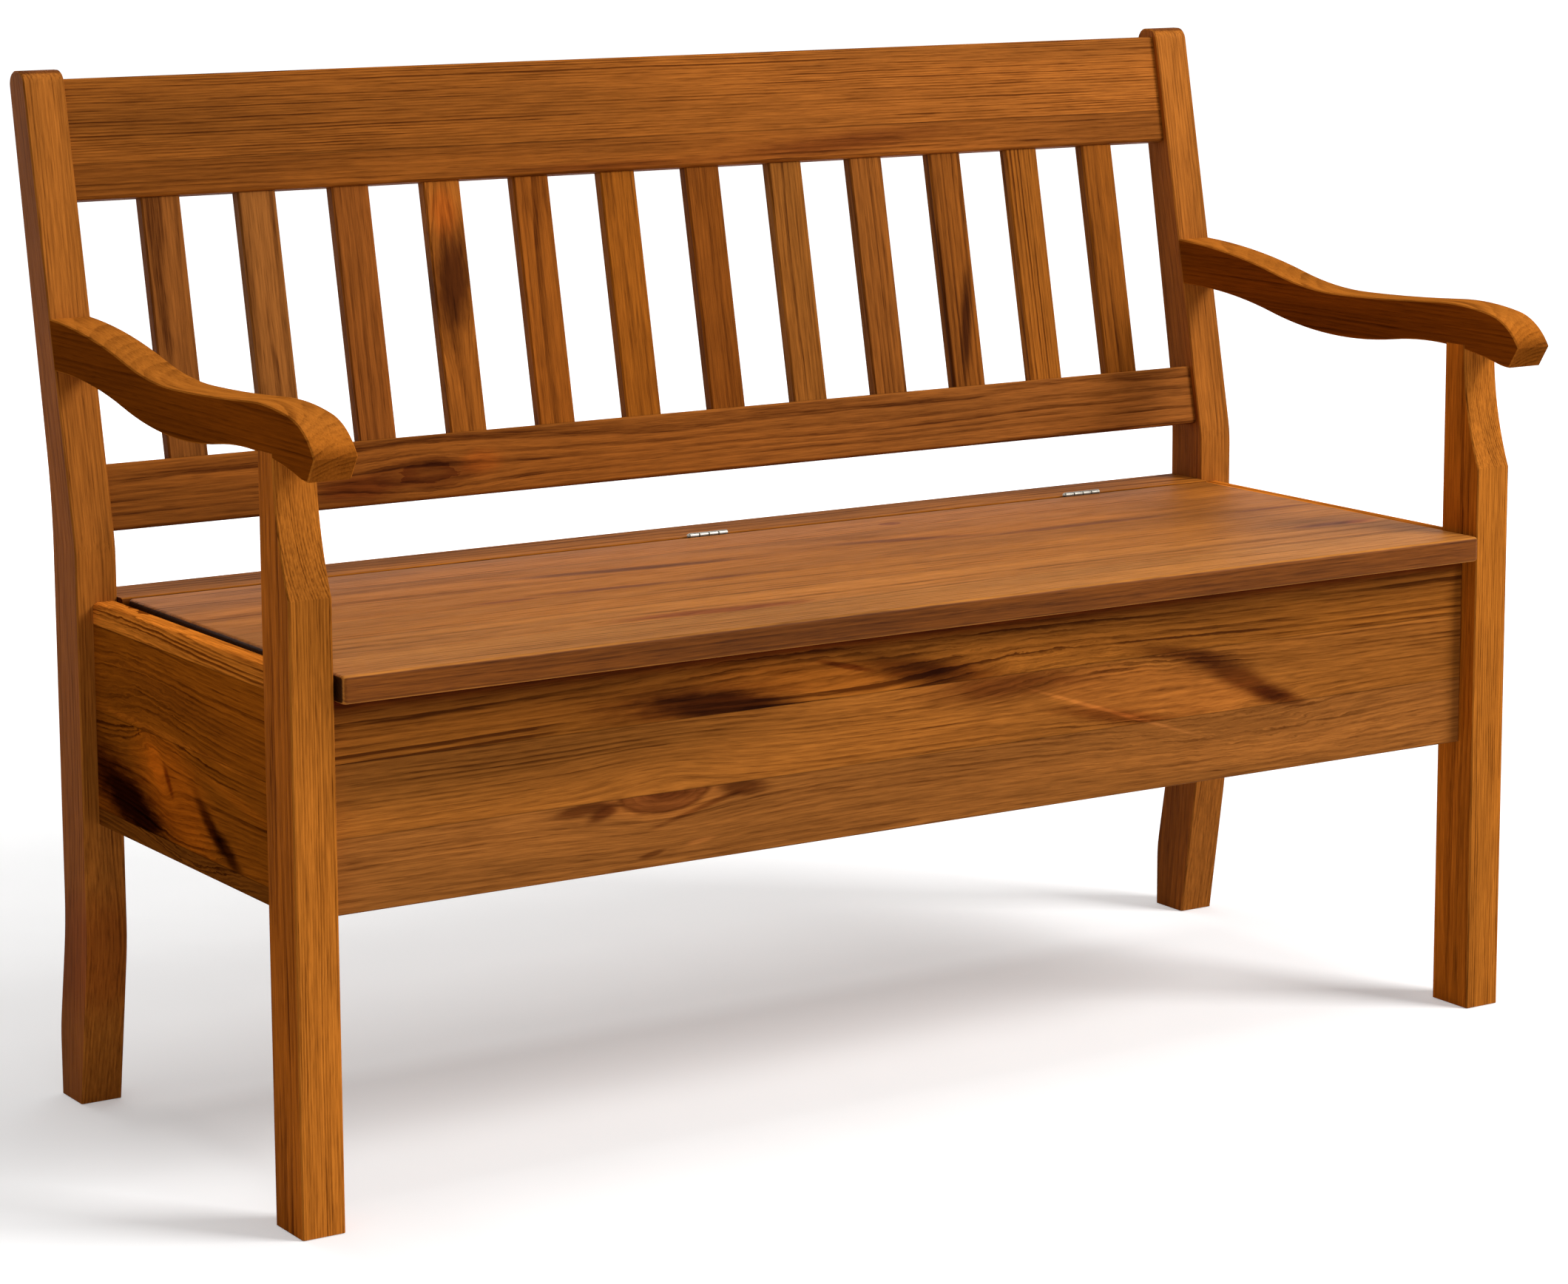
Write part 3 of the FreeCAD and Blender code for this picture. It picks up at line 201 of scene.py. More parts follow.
def make_timber():
    """Sawn conifer wood. Place is metres along the grain and across it, from the tree's middle."""
    tree, web, given, made = group(
        "timber",
        [("Place", "Vector"), ("Spacing", "Float"), ("Wander", "Float"), ("Rings", "Float"),
         ("Fibre", "Float")],
        [("Color", "Color"), ("Roughness", "Float"), ("Height", "Float")],
    )
    place = given["Place"]

    # The lines of the grain swing slowly and waver finely.
    swing = web.vector("SUBTRACT", web.noise(place, SWING_STRETCH, 2.0, colour=True), HALF)
    swing = web.vector("MULTIPLY", swing, web.join(0.0, given["Wander"], given["Wander"]))
    waver = web.vector("SUBTRACT", web.noise(place, WAVER_STRETCH, 2.0, colour=True), HALF)
    waver = web.vector("MULTIPLY", waver, (0.0, WAVER, WAVER))
    _, across, deep = web.split(web.vector("ADD", web.vector("ADD", place, swing), waver))

    # Years differ in width and in strength. Each darkens slowly and ends sharply.
    radius = web.vector("LENGTH", web.join(0.0, across, deep))
    drift = web.noise(web.join(radius, 0.0, 0.0), YEAR_DRIFT_STRETCH, 1.0)
    phase = web.math("DIVIDE", radius, given["Spacing"])
    phase = web.math("ADD", phase, web.math("MULTIPLY", drift, YEAR_DRIFT))
    year = web.node("TexWhiteNoise", noise_dimensions="1D")
    web.put(year.inputs["W"], web.math("FLOOR", phase))
    season = web.math("FRACT", phase)
    late = web.math("MULTIPLY", web.smooth(season, 0.2, 0.86),
                    web.smooth(season, 0.9, 1.0, 1.0, 0.0))
    late = web.math("MULTIPLY", late, web.smooth(year.outputs["Value"], 0.0, 1.0, 0.35, 1.0))
    broken = web.smooth(web.noise(place, BREAK_STRETCH, 2.0), 0.3, 0.68, 0.25, 1.15)
    late = web.math("MULTIPLY", late, web.math("MULTIPLY", broken, given["Rings"]))

    # Fibres, short dark dashes and long streaks lie over the years.
    fibre = web.math("SUBTRACT", web.noise(place, FIBRE_STRETCH, 3.0, 0.7), 0.5)
    dashes = web.smooth(web.noise(place, DASH_STRETCH, 1.0), 0.58, 0.7)
    streak = web.smooth(web.noise(place, STREAK_STRETCH, 2.0), 0.52, 0.7)
    blotch = web.noise(place, BLOTCH_STRETCH, 2.0)
    factor = web.math("ADD", web.math("MULTIPLY_ADD", fibre, given["Fibre"], late), BASE_DEPTH)
    factor = web.math("MULTIPLY_ADD", streak, STREAK_DEPTH, factor)
    factor = web.math("MULTIPLY_ADD", dashes, DASH_DEPTH, factor, clamp=True)
    colour = web.mix(factor, EARLY, LATE, "RGBA")
    web.put(made["Color"], web.shade(colour, web.smooth(blotch, 0.25, 0.75, 0.8, 1.2)))
    web.put(made["Roughness"], web.smooth(factor, 0.0, 1.0, 0.5, 0.62))
    height = web.math("MULTIPLY_ADD", fibre, 1.4, web.math("MULTIPLY", late, -0.5))
    web.put(made["Height"], web.math("MULTIPLY_ADD", dashes, -0.5, height))
    return tree


def make_patch():
    """An oval on a face. Distance is 1 on its edge, and Mask is 1 inside it."""
    tree, web, given, made = group(
        "patch",
        [("Place", "Vector"), ("Centre", "Vector"), ("Size", "Vector"), ("Angle", "Float"),
         ("Edge", "Float"), ("Ragged", "Float")],
        [("Mask", "Float"), ("Distance", "Float")],
    )
    away = web.vector("SUBTRACT", given["Place"], given["Centre"])
    away = web.turn(away, web.math("MULTIPLY", given["Angle"], -1.0))
    away = web.vector("DIVIDE", away, given["Size"])
    along, across, _ = web.split(away)
    rag = web.math("SUBTRACT", web.noise(given["Place"], (34, 150, 40), 3.0, 0.6), 0.5)
    distance = web.vector("LENGTH", web.join(along, across, 0.0))
    distance = web.math("MULTIPLY_ADD", rag, given["Ragged"], distance)
    low = web.math("SUBTRACT", 1.0, given["Edge"])
    high = web.math("ADD", 1.0, given["Edge"])
    web.put(made["Mask"], web.smooth(distance, low, high, 1.0, 0.0))
    web.put(made["Distance"], distance)
    return tree


TIMBER = make_timber()
PATCH = make_patch()


def use(web, tree, **values):
    """Puts a group into a web and gives its outputs."""
    made = web.node("Group", node_tree=tree)
    for label, value in values.items():
        web.put(made.inputs[label], value)
    return made.outputs


X, Y, Z = Vector((1, 0, 0)), Vector((0, 1, 0)), Vector((0, 0, 1))
END_TINT = (0.42, 0.36, 0.32)
RAKE = math.radians(11.5)
BACK_ORIGIN = Vector((0, 0.1889, 0.5195))
BACK_UP = Vector((0, math.sin(RAKE), math.cos(RAKE)))
BACK_IN = Vector((0, math.cos(RAKE), -math.sin(RAKE)))
FACE_TURN = (0.72, 0.9)
PULL_REACH, PULL_FALL = 1.5, 3.0
SEAM_EDGE, SEAM_SHADE = (0.0002, 0.0009), 0.62
BUMP_STRENGTH, BUMP_DISTANCE = 0.35, 0.0004


def board(pith, tone, spacing=0.0032, rings=0.75, shift=0.0):
    """One board of a piece.

    pith is where the tree's middle lies, across and behind the face, spacing the width of a
    year, rings the strength of its dark line, and shift moves the figure along the grain.
    """
    return {"pith": pith, "tone": tone, "spacing": spacing, "rings": rings, "shift": shift}


def mark(at, size, tint, angle=0.0, edge=0.35, ragged=0.8, above=None, below=None, facing=None,
         pull=0.0, rings=0.0):
    """An oval of another tint. at and size are metres along the grain and across the face.

    edge is how soft the rim is and ragged how torn. above and below are seams that it doesn't
    cross, and facing is the side that shows it. pull spreads the lines of the grain around its
    middle, and rings puts closed rings in it.
    """
    return {"at": at, "size": size, "tint": tint, "angle": angle, "edge": edge,
            "ragged": ragged, "above": above, "below": below, "facing": facing,
            "pull": pull, "rings": rings}


def wood(name, axes, boards, seams=(), origin=(0, 0, 0), marks=(), bend=None, wander=0.014,
         fibre=1.6, faces=(), gloss=0.015):
    """Stained wood. axes are the grain's way, the way across the face and the way into it.

    seams are where one board meets the next, across the face, from low to high. faces are
    tints for the sides that look along an axis, painted shade and painted light that set one
    side darker or paler than another. The ends of the boards are darkened last.
    """
    material, web = new_material(name)
    source = web.node("TexCoord").outputs
    normal = source["Normal"]
    point = source["Object"]
    if bend:
        point = bend(web, point)
    point = web.vector("SUBTRACT", point, tuple(origin))
    place = web.join(*[web.vector("DOT_PRODUCT", point, tuple(a)) for a in axes])
    across = web.split(place)[1]

    def offset(b):
        return (b["shift"], -b["pith"][0], -b["pith"][1])

    first, *others = boards
    shift, tone = offset(first), (*first["tone"], 1.0)
    spacing, rings = first["spacing"], first["rings"]
    for seam, b in zip(seams, others):
        above = web.math("GREATER_THAN", across, seam)
        shift = web.mix(above, shift, offset(b), "VECTOR")
        tone = web.mix(above, tone, (*b["tone"], 1.0), "RGBA")
        spacing = web.mix(above, spacing, b["spacing"])
        rings = web.mix(above, rings, b["rings"])
    grain = web.vector("ADD", place, shift)

    ovals = []
    for spot in marks:
        u, v = spot["at"]
        oval = use(web, PATCH, Place=place, Centre=(u, v, 0), Size=(*spot["size"], 1.0),
                   Angle=spot["angle"], Edge=spot["edge"], Ragged=spot["ragged"])
        mask, distance = oval["Mask"], oval["Distance"]
        for test, seam in (("GREATER_THAN", spot["above"]), ("LESS_THAN", spot["below"])):
            if seam is not None:
                mask = web.math("MULTIPLY", mask, web.math(test, across, seam))
        if spot["facing"] is not None:
            turned = web.vector("DOT_PRODUCT", normal, tuple(spot["facing"]))
            mask = web.math("MULTIPLY", mask, web.smooth(turned, *FACE_TURN))
        if spot["pull"]:
            fall = web.math("POWER", web.math("DIVIDE", distance, PULL_REACH), PULL_FALL)
            near = web.math("DIVIDE", spot["pull"], web.math("ADD", 1.0, fall))
            away = web.math("SUBTRACT", across, v)
            move = web.math("MULTIPLY", away, web.math("MULTIPLY", near, -1.0))
            grain = web.vector("ADD", grain, web.join(0.0, move, 0.0))
        ovals.append((mask, distance, spot))

    timber = use(web, TIMBER, Place=grain, Spacing=spacing, Wander=wander, Rings=rings,
                 Fibre=fibre)
    colour = web.multiply(timber["Color"], tone)
    for mask, distance, spot in ovals:
        if spot["rings"]:
            turns = web.math("FRACT", web.math("MULTIPLY", distance, spot["rings"]))
            mask = web.math("MULTIPLY", mask, web.smooth(turns, 0.0, 1.0, 0.55, 1.0))
        tinted = web.multiply(colour, (*spot["tint"], 1.0))
        colour = web.mix(mask, colour, tinted, "RGBA")
    for seam in seams:
        gap = web.math("ABSOLUTE", web.math("SUBTRACT", across, seam))
        colour = web.shade(colour, web.smooth(gap, *SEAM_EDGE, SEAM_SHADE, 1.0))
    # Each listed side gets its tint of painted shade and painted light; last, the ends get the
    # darker end grain.
    for axis, tint in (*faces, (axes[0], END_TINT)):
        turned = web.math("ABSOLUTE", web.vector("DOT_PRODUCT", normal, tuple(axis)))
        tinted = web.multiply(colour, (*tint, 1.0))
        colour = web.mix(web.smooth(turned, *FACE_TURN), colour, tinted, "RGBA")

    bump = web.node("Bump")
    bump.inputs["Strength"].default_value = BUMP_STRENGTH
    bump.inputs["Distance"].default_value = BUMP_DISTANCE
    web.put(bump.inputs["Height"], timber["Height"])
    shader = web.node("BsdfPrincipled")
    shader.inputs["Specular IOR Level"].default_value = gloss
    web.put(shader.inputs["Base Color"], colour)
    web.put(shader.inputs["Roughness"], timber["Roughness"])
    web.put(shader.inputs["Normal"], bump.outputs[0])
    web.end(shader)
    return material


def dress(node, material):
    """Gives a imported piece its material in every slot."""
    slots = NODES[node].data.materials
    if not len(slots):
        slots.append(material)
    for k in range(len(slots)):
        slots[k] = material


def clad(node, *figure, **more):
    """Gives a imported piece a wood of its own."""
    dress(node, wood(node + "_wood", *figure, **more))


POST_X = 0.62
POST_KNEE, KICK_TOP, KICK_SLOPE = 0.508, 0.25, 0.076


def along_post(web, point):
    """Straightens a rear post: raked above the seat, kicked back at the foot."""
    x, y, z = web.split(point)
    above = web.math("MAXIMUM", web.math("SUBTRACT", z, POST_KNEE), 0.0)
    below = web.math("MAXIMUM", web.math("SUBTRACT", KICK_TOP, z), 0.0)
    y = web.math("SUBTRACT", y, web.math("MULTIPLY", above, math.tan(RAKE)))
    y = web.math("SUBTRACT", y, web.math("MULTIPLY", below, KICK_SLOPE))
    return web.join(x, y, z)


DARK = (0.24, 0.19, 0.18)
PALE = (1.3, 1.2, 1.05)
RED = (0.62, 0.42, 0.35)

FRONT_LOW, FRONT_HIGH = 0.3225, 0.384
clad(
    "front_panel", (X, Z, Y),
    [board((0.10, 0.05), (0.87, 0.9, 1.25), 0.0034, 0.45, 0.3),
     board((-0.09, 0.06), (0.94, 0.94, 1.05), 0.0036, 0.5, 1.1),
     board((0.07, -0.07), (0.8, 0.78, 0.74), 0.0062, 1.1, 2.3)],
    (FRONT_LOW, FRONT_HIGH), marks=(
        # Painted shade: a dark red band along the top of the front, just under the lid's overhang.
        mark((0.0, 0.4405), (2.2, 0.0125), (0.3, 0.09, 0.02), edge=0.6, ragged=0.1, facing=-Y),
        mark((-0.40, 0.415), (0.28, 0.022), (0.76, 0.73, 0.7), edge=0.8, above=FRONT_HIGH),
        mark((-0.13, 0.404), (0.10, 0.016), PALE, angle=-0.1, edge=0.6, above=FRONT_HIGH,
             pull=0.4),
        mark((-0.25, 0.394), (0.09, 0.016), (0.5, 0.4, 0.38), angle=-0.06, edge=0.6,
             above=FRONT_HIGH),
        mark((-0.225, 0.391), (0.07, 0.0115), (0.34, 0.27, 0.26), angle=-0.12, edge=0.5,
             above=FRONT_HIGH),
        mark((-0.10, 0.411), (0.03, 0.0025), (0.5, 0.35, 0.3), angle=-0.25, edge=0.5),
        mark((-0.03, 0.399), (0.055, 0.012), (0.36, 0.29, 0.26), angle=-0.28, edge=0.6,
             above=FRONT_HIGH),
        mark((0.02, 0.392), (0.05, 0.010), (0.5, 0.4, 0.36), angle=-0.2, edge=0.7,
             above=FRONT_HIGH),
        mark((-0.42, 0.366), (0.22, 0.032), (0.74, 0.74, 0.74), edge=0.8, below=FRONT_HIGH),
        mark((-0.285, 0.3235), (0.060, 0.023), (1.35, 1.3, 1.25), edge=0.22, ragged=0.3,
             below=FRONT_LOW),
        mark((-0.285, 0.3225), (0.046, 0.017), (0.36, 0.28, 0.26), below=FRONT_LOW, edge=0.1,
             ragged=0.25, pull=0.75),
        mark((-0.285, 0.3225), (0.041, 0.0142), (1.7, 1.85, 2.1), below=FRONT_LOW, edge=0.14,
             ragged=0.25, rings=4.0),
        mark((-0.283, 0.3225), (0.022, 0.0065), (0.7, 0.62, 0.6), below=FRONT_LOW, edge=0.5,
             ragged=0.5),
        mark((-0.36, 0.318), (0.032, 0.0055), (0.38, 0.3, 0.28), angle=0.1, below=FRONT_LOW,
             edge=0.5),
        mark((-0.345, 0.312), (0.014, 0.005), (0.4, 0.3, 0.28), angle=0.3, below=FRONT_LOW,
             edge=0.6),
        mark((-0.205, 0.3175), (0.024, 0.007), (0.42, 0.34, 0.32), angle=-0.1, below=FRONT_LOW,
             edge=0.5),
        mark((-0.245, 0.306), (0.05, 0.0022), (0.6, 0.5, 0.45), angle=0.25, edge=0.6),
        mark((-0.297, 0.271), (0.012, 0.0022), (0.5, 0.42, 0.4), angle=0.15, edge=0.5),
        mark((-0.249, 0.2765), (0.012, 0.002), (1.5, 1.5, 1.6), angle=0.1, edge=0.6),
        mark((0.07, 0.375), (0.075, 0.012), (0.5, 0.4, 0.4), edge=0.7, below=FRONT_HIGH),
        mark((0.235, 0.349), (0.118, 0.024), (1.25, 1.2, 1.25), angle=-0.16, pull=0.55, edge=0.25,
             above=FRONT_LOW),
        mark((0.19, 0.336), (0.09, 0.0016), (1.5, 1.5, 1.7), angle=-0.33, edge=0.6),
        mark((0.20, 0.331), (0.075, 0.006), (0.6, 0.48, 0.42), angle=-0.2, edge=0.7,
             above=FRONT_LOW),
        mark((0.275, 0.379), (0.055, 0.007), (0.42, 0.34, 0.32), angle=-0.2, edge=0.7),
        mark((0.335, 0.351), (0.055, 0.011), (0.4, 0.3, 0.27), angle=-0.45, edge=0.6),
        mark((0.378, 0.330), (0.03, 0.006), (0.42, 0.3, 0.26), angle=-0.3, edge=0.6),
    ))

SIDE_X = 0.61
SIDE_LOW, SIDE_HIGH, SIDE_TOP = 0.275, 0.363, 0.44
side_marks = {
    "left": (
        mark((0.0, 0.40), (0.12, 0.012), (0.82, 0.8, 0.9), angle=0.1, edge=0.8),
        mark((0.02, 0.318), (0.075, 0.04), (1.4, 1.22, 1.0), angle=0.45, edge=0.5, pull=0.4,
             above=SIDE_LOW, below=SIDE_HIGH),
        mark((0.13, 0.300), (0.10, 0.030), (0.3, 0.21, 0.18), angle=0.26, edge=0.6, ragged=1.1,
             above=SIDE_LOW, below=SIDE_HIGH),
        mark((0.105, 0.291), (0.072, 0.019), (0.2, 0.15, 0.14), angle=0.3, edge=0.45, ragged=1.1,
             above=SIDE_LOW, below=SIDE_HIGH),
        mark((0.055, 0.336), (0.024, 0.011), (1.35, 1.3, 1.2), angle=0.7, edge=0.5, pull=0.4),
        mark((0.03, 0.327), (0.004, 0.014), (0.5, 0.36, 0.3), angle=-0.6, edge=0.6),
        mark((-0.052, 0.305), (0.034, 0.008), (0.24, 0.18, 0.16), angle=0.65, edge=0.6,
             above=SIDE_LOW, below=SIDE_HIGH),
        mark((-0.085, 0.288), (0.03, 0.008), (0.2, 0.16, 0.15), angle=0.5, edge=0.6,
             above=SIDE_LOW, below=SIDE_HIGH),
        mark((-0.11, 0.335), (0.07, 0.004), (1.3, 1.25, 1.2), angle=0.15, edge=0.7),
        mark((0.02, 0.3655), (0.16, 0.003), (1.35, 1.35, 1.5), angle=0.025, edge=0.5),
    ),
    "right": (
        mark((-0.06, 0.327), (0.016, 0.010), RED, rings=2.2, edge=0.15, ragged=0.4, pull=0.8,
             below=SIDE_HIGH),
        mark((0.05, 0.318), (0.07, 0.007), (0.5, 0.4, 0.36), angle=0.12, edge=0.7,
             below=SIDE_HIGH),
        mark((0.0, 0.40), (0.1, 0.006), (0.7, 0.6, 0.55), angle=-0.05, edge=0.8),
    ),
}
for side, grain, outer in (("left", 0.0, -SIDE_X), ("right", 5.0, SIDE_X)):
    clad(
        "side_panel_" + side, (Y, Z, X),
        [board((0.10, outer + 0.05), (0.72, 0.62, 0.5), 0.0034, 0.7, 0.7 + grain),
         board((0.16, outer + 0.06), (1.02, 0.8, 0.38), 0.0042, 0.7, 1.9 + grain),
         board((0.24, outer + 0.05), (0.96, 0.74, 0.34), 0.0050, 0.6, 3.1 + grain),
         board((0.30, outer + 0.03), (2.0, 1.8, 1.4), 0.0036, 1.1, 4.2 + grain)],
        (SIDE_LOW, SIDE_HIGH, SIDE_TOP), marks=side_marks[side], gloss=0.0)

clad(
    "rear_panel", (X, Z, Y),
    [board((0.08, 0.05), (0.88, 0.84, 0.8), shift=7.3),
     board((-0.07, -0.06), (0.95, 0.92, 0.86), shift=8.1),
     board((0.05, 0.08), (0.88, 0.84, 0.74), shift=9.7)],
    (0.318, 0.372), marks=(
        mark((0.2, 0.345), (0.02, 0.012), RED, rings=2.5, edge=0.1, ragged=0.3, pull=0.8),
        mark((-0.33, 0.292), (0.015, 0.010), RED, rings=2.5, edge=0.1, ragged=0.3, pull=0.8),
    ))

LID_SEAMS = (-0.18, -0.112, -0.04, 0.028, 0.1)
clad(
    "seat_lid", (X, Y, Z),
    # The two front boards hold a painted sheen, paler and bluer, over their own tone.
    [board((0.05, 0.07), (1.16, 1.3, 1.6), 0.0036, 0.4, 0.4),
     board((-0.06, 0.08), (1.14, 1.22, 1.35), 0.0034, 0.45, 1.3),
     board((0.07, 0.06), (1.05, 1.07, 1.0), 0.0038, 0.4, 2.2),
     board((-0.04, 0.09), (1.0, 1.0, 0.92), 0.0034, 0.45, 3.6),
     board((0.08, 0.05), (1.04, 1.02, 0.9), 0.0032, 0.5, 4.1),
     board((-0.09, 0.05), (1.0, 0.97, 0.85), 0.003, 0.5, 5.2)],
    # The lid's front and rear edges carry painted shade, and its ends, already darker end grain,
    # more painted shade.
    LID_SEAMS, faces=((Y, (0.43, 0.33, 0.24)), (X, (0.2, 0.2, 0.22))), gloss=0.065, marks=(
        # Painted shade: a thin dark line along the lid's rear edge, where it meets the rear strip.
        mark((0.0, 0.1668), (2.2, 0.0014), (0.35, 0.28, 0.22), edge=0.5, ragged=0.0),
        mark((-0.16, 0.05), (0.11, 0.008), (0.4, 0.33, 0.33), angle=-0.1, edge=0.6),
        mark((-0.22, -0.026), (0.065, 0.005), (0.5, 0.38, 0.34), angle=-0.05, edge=0.5),
        mark((-0.115, -0.033), (0.03, 0.004), (0.55, 0.42, 0.38), edge=0.5),
        mark((-0.2, -0.17), (0.09, 0.010), (0.7, 0.5, 0.4), angle=-0.05, edge=0.35, pull=0.7),
        mark((-0.33, -0.031), (0.03, 0.005), (0.55, 0.42, 0.38), edge=0.6),
        mark((0.14, 0.042), (0.07, 0.008), (0.5, 0.4, 0.38), angle=-0.2, edge=0.7),
        mark((0.32, 0.018), (0.12, 0.006), (0.5, 0.4, 0.36), edge=0.7),
        mark((0.54, -0.006), (0.04, 0.004), (0.6, 0.45, 0.4), edge=0.6),
        mark((0.18, 0.126), (0.012, 0.007), RED, rings=2.0, edge=0.2, ragged=0.3, pull=0.8),
        mark((0.53, -0.113), (0.045, 0.008), (0.55, 0.4, 0.34), edge=0.6, pull=0.5),
        mark((0.565, -0.116), (0.018, 0.008), (1.3, 1.05, 0.8), edge=0.5, pull=0.4),
    ))
clad(
    "rear_seat_strip", (X, Y, Z), [board((0.1, 0.07), (0.98, 0.94, 0.85), 0.003, 0.6, 6.6)],
    # Painted shade: a thin dark line along the strip's front edge, in the gap to the lid.
    marks=(mark((0.0, 0.1694), (2.2, 0.0016), (0.35, 0.28, 0.22), edge=0.5, ragged=0.0),))

RAIL_AXES = (X, BACK_UP, BACK_IN)
clad(
    "top_rail", RAIL_AXES,
    [board((-0.08, 0.06), (0.76, 0.68, 0.58), 0.0045, 0.5, 2.0),
     board((0.21, 0.02), (0.9, 0.83, 0.72), 0.0026, 0.8, 0.0)],
    (0.323,), origin=BACK_ORIGIN, wander=0.008, marks=(
        mark((0.2, 0.307), (0.11, 0.008), (0.62, 0.52, 0.52), angle=0.06, edge=0.8),
        mark((-0.06, 0.297), (0.1, 0.004), (0.65, 0.55, 0.5), edge=0.8),
        # Painted light: the rail is paler and bluer toward its right end, a painted sheen, and
        # darker toward its left end, painted shade.
        mark((0.45, 0.36), (0.4, 0.1), (1.14, 1.16, 1.4), edge=0.8, ragged=0.3),
        mark((-0.45, 0.36), (0.3, 0.1), (0.86, 0.86, 0.9), edge=0.8, ragged=0.3),
    ))
clad(
    "lower_back_rail", RAIL_AXES, [board((0.06, 0.05), (0.72, 0.66, 0.66), 0.0042, 0.6, 3.0)],
    origin=BACK_ORIGIN, marks=(
        mark((-0.285, 0.024), (0.05, 0.014), (0.42, 0.3, 0.26), edge=0.3, rings=1.6, pull=0.7),
        mark((-0.36, 0.016), (0.04, 0.012), (0.6, 0.45, 0.4), edge=0.6),
        mark((-0.23, 0.03), (0.02, 0.01), (1.2, 1.0, 0.8), edge=0.6),
        # Painted sheen: paler and bluer toward the rail's right end.
        mark((0.45, 0.03), (0.34, 0.08), (1.28, 1.36, 1.7), edge=0.8, ragged=0.3),
    ))

slat_draws = random.Random(11)
slat_tones = [
    (0.66, 0.64, 0.82), (0.8, 0.84, 1.2), (0.88, 0.78, 0.84), (1.08, 1.0, 0.9),
    (0.84, 0.72, 0.54), (0.86, 0.77, 0.48), (0.64, 0.54, 0.4), (0.9, 0.92, 1.0),
    (0.78, 0.74, 0.8), (0.66, 0.6, 0.54), (0.98, 0.93, 0.76), (0.74, 0.66, 0.5),
]
slat_marks = {
    4: (mark((0.2, -0.2355), (0.05, 0.02), DARK, edge=0.6, angle=0.15, pull=0.6),
        mark((0.262, -0.237), (0.02, 0.012), (1.2, 0.95, 0.75), edge=0.6)),
    10: (mark((0.12, 0.333), (0.05, 0.006), DARK, edge=0.6, angle=0.15),),
}
for k, tone in enumerate(slat_tones, 1):
    node = "back_slat_%02d" % k
    aside = slat_draws.uniform(-0.06, 0.06)
    behind = slat_draws.choice((-1, 1)) * slat_draws.uniform(0.03, 0.08)
    low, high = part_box(node)
    middle = (low.x + high.x) / 2
    clad(node, (BACK_UP, X, BACK_IN),
         [board((middle + aside, behind), tone, slat_draws.uniform(0.0026, 0.0042),
                slat_draws.uniform(0.5, 0.9), slat_draws.uniform(0, 9))],
         origin=BACK_ORIGIN, marks=slat_marks.get(k, ()))

post_marks = {
    "left": (mark((0.14, -0.62), (0.05, 0.1), (0.85, 0.72, 0.66), edge=0.5),),
    "right": (mark((0.06, 0.62), (0.16, 0.2), (0.72, 0.72, 0.78), edge=0.4),),
}
for side, sign in (("left", -1), ("right", 1)):
    middle = sign * POST_X
    clad("rear_post_" + side, (Z, X, Y),
         [board((middle + 0.09, 0.25), (1.02, 0.99, 1.0), 0.003, 0.4, 1.0 + sign)],
         # The post's sides are tinted darker and deeper in colour: painted shade.
         bend=along_post, marks=post_marks[side], faces=((X, (0.95, 0.8, 0.6)),))
    clad("front_leg_" + side, (Z, X, Y),
         [board((middle + 0.07, -0.20), (1.32, 1.27, 1.12), 0.0022, 0.6, 3.0 + sign)],
         # The leg's sides are tinted deeper, with less blue: painted shade.
         wander=0.006, faces=((X, (1.05, 0.86, 0.5)),), gloss=0.005)
    clad("armrest_" + side, (Y, X, Z),
         [board((middle + 0.02, 0.58), (1.08, 0.98, 0.78), 0.0042, 0.4, 5.0 + sign)],
         # The arm's sides are much darker, painted shade, and its top paler and bluer, a painted
         # sheen.
         wander=0.012, fibre=0.9, faces=((X, (0.58, 0.43, 0.22)), (Z, (1.05, 1.1, 1.25))),
         gloss=0.0)

inner = wood("inner_wood", (X, Y, Z), [board((0.1, 0.2), (1.05, 1.0, 0.95), 0.004, 0.5, 2.0)])
for node in ("box_floor", "floor_cleat_front", "floor_cleat_rear"):
    dress(node, inner)
inner_side = wood("inner_side_wood", (Y, X, Z),
                  [board((0.3, 0.2), (1.0, 0.95, 0.9), 0.004, 0.5, 4.0)])
for node in ("floor_cleat_left", "floor_cleat_right", "lid_batten_left", "lid_batten_middle",
             "lid_batten_right"):
    dress(node, inner_side)
dowel = wood("dowel_wood", (Z, X, Y), [board((0.02, 0.2), (1.25, 1.25, 1.3), 0.002, 0.3, 1.0)])
for node in ("arm_dowels", "strip_dowels"):
    dress(node, dowel)


MOTTLE_STRETCH, MOTTLE_SPAN = (420, 420, 420), (0.3, 0.7)


def metal(name, colour, roughness):
    """Zinc-plated steel with a faint mottle."""
    material, web = new_material(name)
    place = web.node("TexCoord").outputs["Object"]
    mottle = web.noise(place, MOTTLE_STRETCH, 3.0, 0.6)
    shader = web.node("BsdfPrincipled")
    shader.inputs["Metallic"].default_value = 1.0
    shade = web.smooth(mottle, *MOTTLE_SPAN, 0.88, 1.06)
    web.put(shader.inputs["Base Color"], web.shade(colour[:3], shade))
    web.put(shader.inputs["Roughness"],
            web.smooth(mottle, *MOTTLE_SPAN, roughness, roughness + 0.12))
    web.end(shader)
    return material


hinge_steel = metal("hinge_steel_plate", stain(158, 154, 144), 0.36)

HINGE_AXIS = Vector((0.0, 0.168063, 0.463))
HINGE_X = 0.441
KNUCKLE_RADIUS = 0.0026
KNUCKLE_PITCH = 0.01075
KNUCKLE_LENGTH = 0.0098
KNUCKLE_BORE = 0.00145
